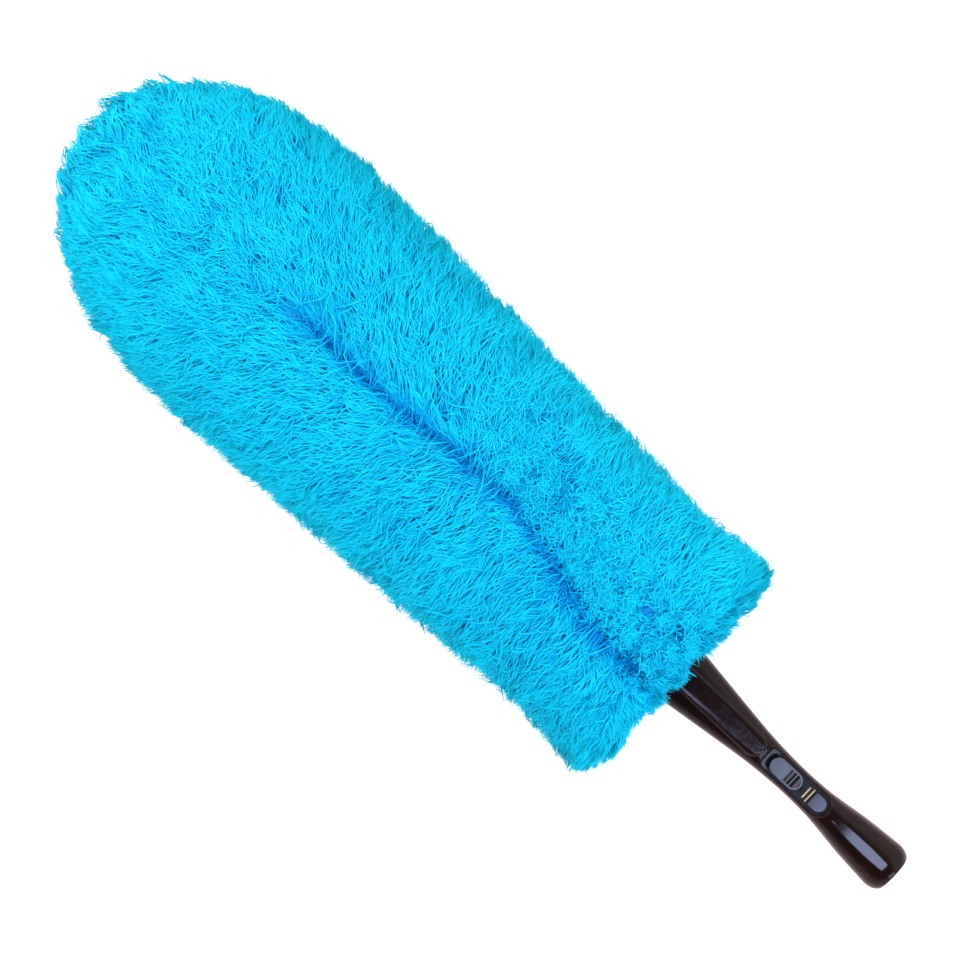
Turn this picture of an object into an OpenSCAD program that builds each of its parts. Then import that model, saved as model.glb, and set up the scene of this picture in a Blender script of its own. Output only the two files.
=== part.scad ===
// Hand duster with a washable microfibre pile sleeve, a flexible blade and a handle
// with a sliding thumb latch for an extension pole.
// Frame: +X runs from the handle end to the pile tip, +Z is the side with the slider,
// and z = 0 is the surface that the duster lies on.
// Inside each module x is measured from the handle end and z from the handle's axis.

/* [Handle outline] */
// Length of the handle, end face to mouth under the pile
handle_len = 172; // [166:0.5:180]
// Diameter of the flat end face
end_face_d = 18.8; // [18.4:0.1:21]
// Length of the rounded corner behind the end face
corner_len = 9; // [7:0.5:12]
// Width over the bulb at the end
bulb_w = 29.4; // [26:0.1:34]
// Width of the grip and its place
grip_w = 25.6; // [24:0.1:28]
// Distance of the grip width from the end face
grip_at = 32; // [26:1:36]
// Width at the shoulder before the waist
shoulder_w = 20.8; // [19.5:0.1:23]
// Distance of the shoulder from the end face
shoulder_at = 50; // [46:0.5:53]
// Width of the waist, the narrowest place
waist_w = 18; // [17.4:0.1:21]
// Distance of the waist from the end face
waist_at = 76; // [70:0.5:82]
// Width at the start of the upper flare
flare_w = 22; // [20:0.1:25]
// Distance of the flare width from the end face
flare_at = 108; // [100:1:116]
// Width of the handle at its mouth
mouth_w = 38.4; // [36:0.1:38.8]

/* [Handle depth] */
// Thickness over the bulb
bulb_h = 22.8; // [22:0.1:26]
// Thickness where the pole socket ends
socket_h = 21.8; // [21.4:0.1:24]
// Thickness at the waist
waist_h = 18; // [17.8:0.1:20]
// Thickness at the mouth
mouth_h = 20.4; // [19:0.1:20.8]
// Wall of both handle shells
wall = 1.8; // [1.4:0.1:2]
// Height of the raised tongue on the upper flare
tongue_rise = 0.8; // [0.4:0.1:1.2]
// Half width of the raised tongue
tongue_half = 6.7; // [5:0.1:7.5]
// Distance of the tongue's rounded end from the end face
tongue_from = 100; // [99:0.5:106]
// Fitting gap between pieces that are assembled and stay put
fit_gap = 0.15; // [0.1:0.05:0.25]
// Sliding gap between pieces that move
slide_gap = 0.25; // [0.2:0.05:0.35]

/* [Pole socket] */
// Bore radius for the extension pole
socket_r = 7.5; // [7:0.1:7.6]
// Wall of the socket tube
socket_wall = 1.2; // [1:0.1:1.3]
// Thickness of the handle's end wall, where the socket starts
end_wall = 3; // [2.5:0.1:4]
// Distance of the socket's inner end from the end face
socket_to = 45; // [40:0.5:45.5]

/* [Thumb latch] */
// Recess in the front shell, end near the handle's end face
recess_from = 50.8; // [50:0.1:51.5]
// Recess in the front shell, end near the pile
recess_to = 97.8; // [97:0.1:98.5]
// Half width of the recess
recess_half = 6.9; // [6.7:0.05:7.1]
// Corner radius of the recess at the pile side
recess_corner = 3; // [2:0.1:4]
// Height of the recess floor above the handle's axis
floor_z = 6; // [5.8:0.1:6.2]
// Thickness of the recess floor
floor_t = 1.4; // [1.2:0.1:1.6]
// Length of the thumb slider
slider_len = 21.4; // [21:0.1:22]
// Width of the thumb slider
slider_w = 10; // [9:0.1:10.6]
// Distance of the slider's near end from the end face
slider_from = 71.5; // [71.2:0.1:72]
// Height of the slider's flat top above the handle's axis
slider_top = 9.4; // [9:0.1:10]
// Depth of the thumb scoop in the slider
scoop_depth = 2; // [1:0.1:2.4]
// Travel of the slider towards the handle's end
slider_travel = 5; // [4:0.1:5]
// Angle that the latch lever turns over the slider's travel
lever_angle = 6; // [5:0.1:6.5]
// Distance of the lever's pin from the end face
pivot_at = 64; // [63.5:0.1:64.5]
// Radius of the lever's pin
pin_r = 1.5; // [1.2:0.05:1.6]
// Distance of the lever's nose from its pin
tail_len = 14; // [13.5:0.1:14.2]
// Half thickness of the lever's bar
lever_half_t = 1.2; // [1:0.05:1.3]
// Width of the lever
lever_w = 4.4; // [4:0.1:5]
// Wire radius of the latch spring
wire_r = 0.28; // [0.2:0.02:0.3]
// Mean coil radius of the latch spring
coil_r = 1.5; // [1.3:0.05:1.6]
// Turns of the latch spring
coil_turns = 4; // [3:1:5]

/* [Blade] */
// Width of the flexible blade
blade_w = 38; // [34:0.5:38.2]
// Thickness of the blade
blade_t = 3.6; // [3:0.1:4]
// Length of the blade outside the handle
blade_len = 388; // [368:1:392]
// Width of the tang inside the handle
tang_w = 16; // [13:0.5:16.4]
// Length of the tang inside the handle
tang_len = 40; // [38:0.5:41]
// Width of the spring steel strip
strip_w = 12; // [8:0.5:14]
// Thickness of the spring steel strip
strip_t = 0.9; // [0.6:0.1:1.1]
// Length of one slot in the blade
slot_len = 14; // [10:0.5:16]
// Width of one slot in the blade
slot_w = 5; // [3:0.5:5.5]
// Distance from one slot to the next
slot_pitch = 22; // [20:0.5:26]
// Number of slots in each row
slot_count = 16; // [10:1:16]
// Number of rivets that hold the strip
rivet_count = 5; // [3:1:6]
// Shank radius of a rivet
rivet_r = 1.5; // [1:0.1:1.8]
// Length of the soft cap over the blade's tip
cap_len = 26; // [22:1:30]

/* [Sleeve] */
// Length of the handle that the pile's mouth hides
pile_overlap = 12; // [10:0.5:14]
// Length of the pile, mouth to tip
pile_len = 454; // [448:1:465]
// Width of the pile just behind its mouth
pile_mouth_w = 162; // [150:1:170]
// Width of the pile at its slimmest
pile_slim_w = 157; // [150:1:165]
// Width of the pile at its widest
pile_max_w = 182; // [172:1:190]
// Distance of the slimmest place from the pile's mouth
pile_slim_at = 52; // [46:1:60]
// Distance of the widest place from the pile's mouth
pile_max_at = 328; // [310:1:340]
// Length of the rounded tip
pile_tip_len = 84; // [74:1:92]
// Height of the pile above the handle's axis
pile_over = 56.5; // [50:0.5:64]
// Depth of the parting that runs along the top of the pile
parting_depth = 15; // [8:0.5:18]
// Depth of the pile below the handle's axis, where it lies flat
pile_under = 52; // [46:0.5:56]
// Wall of the backing fabric
fabric_t = 1; // [0.8:0.1:1.2]
// Inner half height of the backing along the blade
pocket_half_h = 4.2; // [4:0.1:4.6]
// Thickness of the elastic cuff
cuff_t = 1.2; // [0.8:0.1:1.4]
// Length of the elastic cuff
cuff_len = 9; // [7:0.5:9.5]
// Width of the tape over each long seam
tape_w = 6; // [4:0.5:8]
// Thickness of the seam tape
tape_t = 0.6; // [0.4:0.1:0.8]

/* [Screws] */
// Shank radius of the shell screws
screw_r = 1.3; // [1:0.05:1.4]
// Head radius of the shell screws
screw_head_r = 2.5; // [2.2:0.1:2.7]
// Head height of the shell screws
screw_head_h = 1.8; // [1.4:0.1:2]
// Distance of the second shell screw from the handle's mouth
screw_back = 10; // [9:0.5:12]
// Distance of the first neck dowel from the handle's mouth
dowel_back = 33; // [32:0.5:34]
// Distance between the two neck dowels
dowel_gap = 12; // [10:0.5:13]
// Radius of those dowels
dowel_r = 1.5; // [1:0.1:1.8]

/* [Hidden] */
$fn = 48;

tang_from = handle_len - tang_len;
blade_to = handle_len + blade_len;
pile_from = handle_len - pile_overlap;
pile_to = pile_from + pile_len;
half_len = pile_to / 2;
axis_z = pile_under;
neck_from = tang_from - 3;
screw_at = [(recess_to + neck_from) / 2, handle_len - screw_back];
dowel_at = [handle_len - dowel_back, handle_len - dowel_back + dowel_gap];
end_r = end_face_d / 2;

// ---- curves through named sizes -------------------------------------------------------
function span(tab, u, i = 0) = (i >= len(tab) - 2 || u < tab[i + 1][0]) ? i : span(tab, u, i + 1);
function grade(tab, i) =
    let (a = max(i - 1, 0), b = min(i + 1, len(tab) - 1))
    (tab[b][1] - tab[a][1]) / (tab[b][0] - tab[a][0]);
function smooth_at(tab, u) =
    let (i = span(tab, u), d = tab[i + 1][0] - tab[i][0], t = (u - tab[i][0]) / d)
    (2 * t ^ 3 - 3 * t ^ 2 + 1) * tab[i][1] + (t ^ 3 - 2 * t ^ 2 + t) * d * grade(tab, i)
    + (3 * t ^ 2 - 2 * t ^ 3) * tab[i + 1][1] + (t ^ 3 - t ^ 2) * d * grade(tab, i + 1);
function clamp01(t) = min(max(t, 0), 1);
function ease(t) = let (c = clamp01(t)) c * c * (3 - 2 * c);

// ---- handle section -------------------------------------------------------------------
waist_zone = 16;
width_tab = [
    [corner_len, bulb_w / 2], [grip_at, grip_w / 2], [shoulder_at, shoulder_w / 2],
    [waist_at - waist_zone, waist_w / 2 + 0.4], [waist_at, waist_w / 2],
    [waist_at + waist_zone, waist_w / 2 + 0.6], [flare_at, flare_w / 2], [handle_len, mouth_w / 2]
];
depth_tab = [
    [corner_len, bulb_h / 2], [socket_to + 1, socket_h / 2], [socket_to + 13, waist_h / 2 + 0.5],
    [waist_at, waist_h / 2], [flare_at, waist_h / 2 + 0.15], [handle_len, mouth_h / 2]
];
// How square the section is: a circle at the end face, squarer towards the mouth
square_tab = [[0, 2], [20, 2.4], [socket_to, 2.5], [socket_to + 13, 3], [handle_len, 3]];
function corner(u, to) = end_r + (to - end_r) * sqrt(1 - (1 - u / corner_len) ^ 2);
function half_w(u) = u < corner_len ? corner(u, bulb_w / 2) : smooth_at(width_tab, u);
function half_h(u) = u < corner_len ? corner(u, bulb_h / 2) : smooth_at(depth_tab, u);
function squareness(u) = lookup(u, square_tab);
function oval(a, w, h, n) =
    let (r = ((abs(cos(a)) / w) ^ n + (abs(sin(a)) / h) ^ n) ^ (-1 / n)) [r * cos(a), r * sin(a)];
// How far a point of the front is inside the tongue: 1 inside, 0 outside
tongue_soft = 1.5;
function tongue(u, y) =
    let (c = tongue_from + tongue_half, d = u < c ? norm([u - c, y]) : abs(y))
    ease((tongue_half - d) / tongue_soft + 0.5);

// ---- lofts ----------------------------------------------------------------------------
// Skins equal rings of points, each ring at its own x. Its ends are flat faces, or for a
// wall's ring, whose outer and inner halves run side by side, a strip between the halves.
// A ring runs from +y to +z
module loft(rings, walled = false) {
    n = len(rings[0]);
    last = (len(rings) - 1) * n;
    sides = [
        for (k = [0 : len(rings) - 2], i = [0 : n - 1])
            each let (a = k * n + i, b = k * n + (i + 1) % n)
                [[a, b + n, b], [a, a + n, b + n]]
    ];
    strip = [
        for (i = [0 : n / 2 - 2])
            each let (j = n - 1 - i)
                [[j, i + 1, j - 1], [j, i, i + 1],
                 [last + i, last + j - 1, last + i + 1], [last + i, last + j, last + j - 1]]
    ];
    flat = [[for (i = [0 : n - 1]) i], [for (i = [n - 1 : -1 : 0]) last + i]];
    polyhedron(points = [for (r = rings) each r], faces = concat(sides, walled ? strip : flat));
}
module on_axis() { translate([-half_len, 0, axis_z]) children(); }
// A flat oval with round sides, swept along x
module flat_oval(from, to, half_width, half_height) {
    translate([from, 0, 0]) rotate([90, 0, 90]) linear_extrude(to - from) union() {
        square([2 * (half_width - half_height), 2 * half_height], center = true);
        for (s = [-1, 1]) translate([s * (half_width - half_height), 0]) circle(r = half_height);
    }
}
module up_bore(x, r, from, to, y = 0) {
    translate([x, y, from]) cylinder(r = r, h = to - from);
}

// ---- handle shells --------------------------------------------------------------------
ARC_STEPS = 22;
lip_r = socket_r + 0.4;
step_len = 0.2;
shell_stations = concat(
    [for (t = [0, 0.04, 0.12, 0.22]) t * corner_len], [end_wall - step_len, end_wall],
    [for (u = [corner_len * 0.55, corner_len * 0.78, corner_len]) u],
    [for (u = [corner_len + 4 : 4 : tongue_from - 6]) u],
    [for (u = [tongue_from - 3 : 1.5 : tongue_from + 6]) u],
    [for (k = [1 : 9]) tongue_from + 6 + (handle_len - tongue_from - 6) * k / 9]
);
function shell_outer(u, side) = [
    for (k = [0 : ARC_STEPS])
        let (p = oval(180 * k / ARC_STEPS, half_w(u), half_h(u), squareness(u)),
             up = side > 0 ? tongue_rise * tongue(u, p[0]) : 0)
        [u, p[0], side * (p[1] + up)]
];
function shell_inner(u, side) = [
    for (k = [ARC_STEPS : -1 : 0])
        let (a = 180 * k / ARC_STEPS,
             p = u < end_wall ? [lip_r * cos(a), lip_r * sin(a)]
                              : oval(a, half_w(u) - wall, half_h(u) - wall, squareness(u)))
        [u, p[0], side * p[1]]
];
module half_shell(side) {
    rings = [for (u = shell_stations) concat(shell_outer(u, side), shell_inner(u, side))];
    loft([for (r = rings) side > 0 ? r : [for (i = [len(r) - 1 : -1 : 0]) r[i]]], walled = true);
}
// The recess outline: round towards the handle's end, small corners towards the pile
module recess_outline(inset = 0) {
    half = recess_half - inset;
    round_at = recess_from + recess_half;
    far = recess_to - inset;
    r = recess_corner - inset;
    union() {
        translate([round_at, 0]) circle(r = half);
        translate([round_at, -half]) square([far - r - round_at, 2 * half]);
        translate([round_at, r - half]) square([far - round_at, 2 * (half - r)]);
        for (s = [-1, 1]) translate([far - r, s * (half - r)]) circle(r = r);
    }
}
boss_r = 3.1;
boss_join = 0.4;
boss_split_z = 1.2;
front_roof = 1;
module front_shell() {
    color("#1a1214") on_axis() difference() {
        union() {
            half_shell(1);
            for (x = screw_at)
                up_bore(x, boss_r, x == screw_at[0] ? boss_split_z : neck_half_h + fit_gap,
                        half_h(x) - wall + boss_join);
        }
        translate([0, 0, floor_z - floor_t - 1.6]) linear_extrude(12) recess_outline();
        for (x = screw_at) up_bore(x, screw_r + 0.03, 0, half_h(x) - wall - front_roof + boss_join);
    }
}
head_depth = 2.4;
module rear_shell() {
    color("#1a1214") on_axis() difference() {
        union() {
            half_shell(-1);
            for (x = screw_at)
                up_bore(x, boss_r + 0.4, wall - half_h(x) - boss_join,
                        x == screw_at[0] ? boss_split_z - fit_gap : -neck_half_h - fit_gap);
        }
        for (x = screw_at) {
            up_bore(x, screw_r + fit_gap, -half_h(x) - 1, boss_split_z + 1);
            up_bore(x, screw_head_r + fit_gap, -half_h(x) - 1, head_depth - half_h(x));
        }
    }
}
screw_gap_top = 1.4;
module shell_screws() {
    color("silver") on_axis() for (x = screw_at) {
        seat = head_depth - half_h(x);
        up_bore(x, screw_head_r, seat - screw_head_h, seat);
        up_bore(x, screw_r, seat - 0.2, half_h(x) - wall - screw_gap_top);
    }
}

// ---- pole socket ----------------------------------------------------------------------
ring_len = 2;
ring_at = [16, 38];
module pole_socket() {
    color("#2b2426") on_axis() difference() {
        union() {
            translate([end_wall, 0, 0]) rotate([0, 90, 0])
                cylinder(r = socket_r + socket_wall, h = socket_to - end_wall);
            for (x = ring_at) translate([x, 0, 0]) rotate([0, 90, 0])
                cylinder(r = half_h(socket_to) - wall - fit_gap, h = ring_len);
        }
        translate([end_wall - 1, 0, 0]) rotate([0, 90, 0])
            cylinder(r = socket_r, h = socket_to - end_wall + 2);
    }
}

// ---- recess floor, slider and latch ---------------------------------------------------
stem_from = slider_from + 6.5;
stem_to = slider_from + 15.5;
stem_half = 1.4;
pad_from = recess_from + 2.1;
pad_to = pad_from + 9.9;
pad_half = 4.7;
pad_top = floor_z + 3;
rim_w = 0.7;
rim_rise = 1;
bevel_len = 3.4;
module pad_outline() {
    round_r = pad_half;
    translate([pad_from + round_r, 0]) circle(r = round_r);
    translate([pad_from + round_r, -round_r]) square([pad_to - pad_from - round_r, 2 * round_r]);
}
module slide_track() {
    color("#181619") on_axis() difference() {
        union() {
            translate([0, 0, floor_z - floor_t]) linear_extrude(floor_t) recess_outline(fit_gap);
            translate([0, 0, floor_z - 0.2]) linear_extrude(rim_rise + 0.2) difference() {
                recess_outline(fit_gap);
                recess_outline(fit_gap + rim_w);
            }
            translate([0, 0, floor_z - 0.2]) linear_extrude(pad_top - floor_z + 0.2) pad_outline();
            intersection() {
                translate([0, 0, floor_z - 0.2]) linear_extrude(4) recess_outline(fit_gap);
                translate([0, recess_half, 0]) rotate([90, 0, 0]) linear_extrude(2 * recess_half)
                    polygon([[recess_to - bevel_len, floor_z - 0.2],
                             [recess_to, floor_z - 0.2], [recess_to, floor_z + 2.2],
                             [recess_to - 0.6, floor_z + 2.2]]);
            }
        }
        translate([stem_from - slider_travel - slide_gap, -stem_half - slide_gap, floor_z - floor_t - 1])
            cube([stem_to - stem_from + slider_travel + 2 * slide_gap,
                  2 * (stem_half + slide_gap), floor_t + 2]);
    }
}
mark_t = 0.1;
mark_w = 0.7;
mark_gap = 2.6;
mark_at = pad_to + 1.4;
mark_half = [4.4, 3.7];
module index_marks() {
    color("#c9b483") on_axis() for (k = [0, 1])
        translate([mark_at + k * mark_gap - mark_w / 2, -mark_half[k], floor_z])
            cube([mark_w, 2 * mark_half[k], mark_t]);
}
slider_z = floor_z + slide_gap;
lip_w = 1;
edge_x = slider_from + 10.2;
scoop_r = 7.2;
module slider_outline(inset = 0) {
    r = slider_w / 2;
    for (x = [slider_from + r, slider_from + slider_len - r]) translate([x, 0]) circle(r = r - inset);
    translate([slider_from + r, inset - r]) square([slider_len - 2 * r, slider_w - 2 * inset]);
}
carriage_top = floor_z - floor_t - slide_gap;
carriage_screw_at = stem_to - 1.9;
carriage_screw_r = 0.8;
module thumb_slider() {
    scoop_x = slider_from + 5.2;
    color("#15151a") on_axis() difference() {
        union() {
            translate([0, 0, slider_z]) linear_extrude(slider_top - slider_z - 0.6) slider_outline();
            translate([0, 0, slider_top - 0.7]) linear_extrude(0.7) slider_outline(0.4);
            translate([stem_from, -stem_half, carriage_top])
                cube([stem_to - stem_from, 2 * stem_half, slider_z - carriage_top + 0.2]);
        }
        intersection() {
            translate([0, 0, slider_z]) linear_extrude(6) difference() {
                slider_outline(lip_w);
                translate([edge_x, -slider_w]) square([slider_len, 2 * slider_w]);
            }
            translate([scoop_x, slider_w, slider_top + scoop_r - scoop_depth]) rotate([90, 0, 0])
                cylinder(r = scoop_r, h = 2 * slider_w);
        }
        up_bore(carriage_screw_at, carriage_screw_r + 0.03, carriage_top - 1, carriage_top + 3.1);
    }
}
guide_half = 3.6;
lever_drop = tail_len * sin(lever_angle);
ramp_slope = lever_drop / slider_travel;
nose_x = pivot_at + tail_len;
ramp_start_z = lever_half_t / cos(atan(ramp_slope)) + slide_gap;
ramp_lead = 2.4;
ramp_over = 0.8;
shelf_z = ramp_start_z + ramp_slope * ramp_lead;
ramp_end_x = nose_x + slider_travel + ramp_over;
ramp_end_z = ramp_start_z - ramp_slope * (slider_travel + ramp_over);
carriage_from = stem_from - 7;
carriage_to = stem_to + 3;
module slider_carriage() {
    color("#e8e4da") on_axis() difference() {
        translate([0, guide_half - slide_gap, 0]) rotate([90, 0, 0])
            linear_extrude(2 * (guide_half - slide_gap)) polygon([
                [carriage_from, carriage_top], [carriage_from, shelf_z],
                [nose_x - ramp_lead, shelf_z], [ramp_end_x, ramp_end_z],
                [carriage_to, ramp_end_z], [carriage_to, carriage_top]
            ]);
        up_bore(carriage_screw_at, carriage_screw_r + 0.03, ramp_end_z - 1, carriage_top + 1);
        up_bore(carriage_screw_at, carriage_head_r + 0.1, ramp_end_z - 2, ramp_end_z + carriage_head_h);
    }
}
carriage_head_r = 1.4;
carriage_head_h = 0.9;
module carriage_screw() {
    color("silver") on_axis() {
        up_bore(carriage_screw_at, carriage_head_r, ramp_end_z + 0.1, ramp_end_z + carriage_head_h);
        up_bore(carriage_screw_at, carriage_screw_r, ramp_end_z + 0.3, carriage_top + 2.8);
    }
}
cradle_from = shoulder_at + 2;
cradle_to = recess_to - 0.6;
cradle_wall = 1.4;
cradle_floor_z = -waist_h / 2 + wall + 0.6;
cradle_floor_t = 1.2;
foot_at = [cradle_from + 6, cradle_to - 8];
module latch_cradle() {
    out = guide_half + cradle_wall;
    low = cradle_floor_z;
    top = floor_z - floor_t;
    color("#3a3336") on_axis() difference() {
        union() {
            translate([cradle_from, 0, 0]) rotate([90, 0, 90]) linear_extrude(cradle_to - cradle_from)
                polygon([
                    [-out, top], [-out, low + 1.5], [0.6 - guide_half, low], [guide_half - 0.6, low],
                    [out, low + 1.5], [out, top], [guide_half, top],
                    [guide_half, low + cradle_floor_t + 0.6],
                    [guide_half - 0.6, low + cradle_floor_t], [0.6 - guide_half, low + cradle_floor_t],
                    [-guide_half, low + cradle_floor_t + 0.6], [-guide_half, top]
                ]);
            for (x = foot_at) translate([x, -1, low - 0.5]) cube([4, 2, 0.7]);
        }
        translate([pivot_at, out + 1, 0]) rotate([90, 0, 0]) cylinder(r = pin_r + 0.03, h = 2 * out + 2);
    }
}
module latch_pin() {
    color("silver") on_axis() translate([pivot_at, guide_half + cradle_wall, 0]) rotate([90, 0, 0])
        cylinder(r = pin_r, h = 2 * (guide_half + cradle_wall));
}
hook_top = 5;
hook_from = socket_to + 1.9;
hook_to = hook_from + 2.6;
hub_r = 2.7;
module latch_lever() {
    color("#b8b4ac") on_axis() difference() {
        translate([0, lever_w / 2, 0]) rotate([90, 0, 0]) linear_extrude(lever_w) union() {
            translate([pivot_at, 0]) circle(r = hub_r);
            translate([nose_x, 0]) circle(r = lever_half_t);
            polygon([
                [nose_x, lever_half_t], [pivot_at - 8, lever_half_t], [hook_to + 0.9, 1.9],
                [hook_to, hook_top], [hook_from, hook_top], [hook_from, 2.4],
                [hook_from + 0.8, 2.4], [hook_from + 1.2, hook_top - 1.2],
                [hook_to - 1, hook_top - 1.2], [hook_to - 1, 0], [pivot_at - 8, -lever_half_t],
                [nose_x, -lever_half_t]
            ]);
        }
        translate([pivot_at, lever_w, 0]) rotate([90, 0, 0]) cylinder(r = pin_r + 0.05, h = 2 * lever_w);
    }
}
spring_at = pivot_at + 9.5;
spring_low = cradle_floor_z + cradle_floor_t;
spring_top = -lever_half_t;
coil_sides = 8;
coil_steps = 14;
// The coil starts and ends level with the faces that it presses on
function coil_ring(k) =
    let (t = k / (coil_turns * coil_steps), a = 360 * k / coil_steps,
         z = spring_low + wire_r + t * (spring_top - spring_low - 2 * wire_r))
    [for (i = [0 : coil_sides - 1])
        let (b = -360 * i / coil_sides, r = coil_r + wire_r * cos(b))
        [spring_at + r * cos(a), r * sin(a), z + wire_r * sin(b)]];
module latch_spring() {
    color("silver") on_axis() loft([for (k = [0 : coil_turns * coil_steps]) coil_ring(k)]);
}

// ---- blade and its neck ---------------------------------------------------------------
neck_half_h = 5.6;
neck_half_w = tang_w / 2 + 1.8;
groove_deep = 0.8;
neck_flange = 3;
neck_to = handle_len - 0.6;
neck_grooves = 4;
module neck_section(u) {
    polygon([for (k = [0 : 2 * ARC_STEPS - 1])
        oval(180 * k / ARC_STEPS, half_w(u) - wall - fit_gap, half_h(u) - wall - fit_gap,
             squareness(u))]);
}
module blade_neck() {
    color("#4a4448") on_axis() difference() {
        union() {
            translate([neck_from, -neck_half_w, -neck_half_h])
                cube([neck_to - neck_from, 2 * neck_half_w, 2 * neck_half_h]);
            translate([neck_to - neck_flange, 0, 0]) rotate([90, 0, 90]) linear_extrude(neck_flange)
                neck_section(neck_to - neck_flange);
        }
        translate([tang_from - fit_gap, -tang_w / 2 - fit_gap, -blade_t / 2 - fit_gap])
            cube([handle_len, tang_w + 2 * fit_gap, blade_t + 2 * fit_gap]);
        for (x = dowel_at) up_bore(x, dowel_r + 0.03, -12, 12);
        up_bore(screw_at[1], screw_r + fit_gap, -12, 12);
        for (k = [1 : neck_grooves], s = [-1, 1])
            translate([dowel_at[0] - 1 + 4 * k, s * neck_half_w - groove_deep, -neck_half_h - 1])
                cube([1.6, 2 * groove_deep, 2 * neck_half_h + 2]);
    }
}
module neck_dowels() {
    color("silver") on_axis() for (x = dowel_at) up_bore(x, dowel_r, -neck_half_h, neck_half_h);
}
blade_from = handle_len + 0.6;
row_y = strip_w / 2 + (blade_w / 2 - strip_w / 2) / 2 + 0.2;
slot_from = blade_from + 24;
cap_wall = 1;
groove_t = strip_t + 0.1;
module blade_outline(half, to) {
    r = half * 0.8;
    translate([blade_from, -half]) square([to - r - blade_from, 2 * half]);
    translate([blade_from, r - half]) square([to - blade_from, 2 * (half - r)]);
    for (s = [-1, 1]) translate([to - r, s * (half - r)]) circle(r = r);
}
rivet_from = blade_from + 10;
rivet_pitch = (blade_to - cap_len - 14 - rivet_from) / (rivet_count - 1);
module blade() {
    rim = 1.6;
    color("#d8d8d4") on_axis() difference() {
        union() {
            translate([0, 0, -blade_t / 2]) linear_extrude(blade_t)
                blade_outline(blade_w / 2 - cap_wall, blade_to - cap_wall);
            for (s = [-1, 1]) translate([blade_from, s * (blade_w / 2 - rim / 2) - rim / 2, -blade_t / 2])
                cube([blade_to - cap_len - blade_from - 1, rim, blade_t]);
            translate([tang_from, -tang_w / 2, -blade_t / 2])
                cube([blade_from - tang_from + 1, tang_w, blade_t]);
        }
        translate([rivet_from - 6, -strip_w / 2 - 0.1, blade_t / 2 - groove_t])
            cube([blade_to - cap_len - rivet_from, strip_w + 0.2, groove_t + 1]);
        for (k = [0 : slot_count - 1], s = [-1, 1]) translate([slot_from + k * slot_pitch, s * row_y, -4])
            linear_extrude(8) union() {
                square([slot_len - slot_w, slot_w], center = true);
                for (e = [-1, 1]) translate([e * (slot_len - slot_w) / 2, 0]) circle(d = slot_w);
            }
        for (x = concat(dowel_at, [screw_at[1]])) up_bore(x, dowel_r + 0.03, -4, 4);
        for (k = [0 : rivet_count - 1]) up_bore(rivet_from + k * rivet_pitch, rivet_r + 0.03, -4, 4);
    }
}
module steel_strip() {
    color("silver") on_axis() translate([0, 0, blade_t / 2 - groove_t]) linear_extrude(strip_t)
        difference() {
            translate([rivet_from - 5.5, -strip_w / 2])
                square([blade_to - cap_len - rivet_from - 1, strip_w]);
            for (k = [0 : rivet_count - 1])
                translate([rivet_from + k * rivet_pitch, 0]) circle(r = rivet_r + 0.03);
        }
}
rivet_head_t = 0.6;
module strip_rivets() {
    strip_top = blade_t / 2 - groove_t + strip_t;
    color("#c8a860") on_axis() for (k = [0 : rivet_count - 1]) {
        x = rivet_from + k * rivet_pitch;
        up_bore(x, rivet_r, -blade_t / 2 - 0.1, strip_top + 0.1);
        up_bore(x, 2 * rivet_r, strip_top, strip_top + rivet_head_t);
        up_bore(x, 2 * rivet_r, -blade_t / 2 - rivet_head_t, -blade_t / 2);
    }
}
cap_cover = 0.8;
module tip_cap() {
    color("#2f2b2d") on_axis() difference() {
        intersection() {
            translate([0, 0, -blade_t / 2 - cap_cover]) linear_extrude(blade_t + 2 * cap_cover)
                blade_outline(blade_w / 2, blade_to);
            translate([blade_to - cap_len, -blade_w, -10]) cube([cap_len + 1, 2 * blade_w, 20]);
        }
        translate([0, 0, -blade_t / 2 - 0.05]) linear_extrude(blade_t + 0.1)
            blade_outline(blade_w / 2 - cap_wall + 0.05, blade_to - cap_wall + 0.05);
    }
}

// ---- washable sleeve ------------------------------------------------------------------
cuff_gap = 0.4;
cuff_half_w = mouth_w / 2 + cuff_gap;
cuff_half_h = mouth_h / 2 + tongue_rise + cuff_gap;
sleeve_half_w = cuff_half_w + cuff_t + 0.2;
sleeve_half_h = cuff_half_h + cuff_t + 0.2;
sleeve_from = pile_from + 1.5;
neck_down_from = handle_len + 3;
neck_down_to = neck_down_from + 12;
pocket_to = blade_to + 6;
// The space inside the backing, or its outside when grown by the fabric
module sleeve_form(grow, from, to) {
    flat_oval(from, neck_down_from + 0.1, sleeve_half_w + grow, sleeve_half_h + grow);
    hull() {
        flat_oval(neck_down_from, neck_down_from + 0.1, sleeve_half_w + grow, sleeve_half_h + grow, $fn = 32);
        flat_oval(neck_down_to, neck_down_to + 0.1, sleeve_half_w + grow, pocket_half_h + grow, $fn = 32);
    }
    flat_oval(neck_down_to, to, sleeve_half_w + grow, pocket_half_h + grow);
}
module sleeve_backing() {
    color("#0a78b8") on_axis() difference() {
        sleeve_form(fabric_t, sleeve_from, pocket_to + fabric_t);
        sleeve_form(0, sleeve_from - 1, pocket_to);
    }
}
module elastic_cuff() {
    color("#0b5f96") on_axis() difference() {
        flat_oval(sleeve_from + 0.5, sleeve_from + 0.5 + cuff_len, cuff_half_w + cuff_t, cuff_half_h + cuff_t);
        flat_oval(sleeve_from - 1, sleeve_from + cuff_len + 2, cuff_half_w, cuff_half_h);
    }
}
tape_z = pocket_half_h + fabric_t;
module seam_tapes() {
    color("#0b5f96") on_axis() for (s = [-1, 1])
        translate([neck_down_to + 1, -tape_w / 2, s > 0 ? tape_z : -tape_z - tape_t])
            cube([pocket_to - neck_down_to - 2, tape_w, tape_t]);
}
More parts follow.
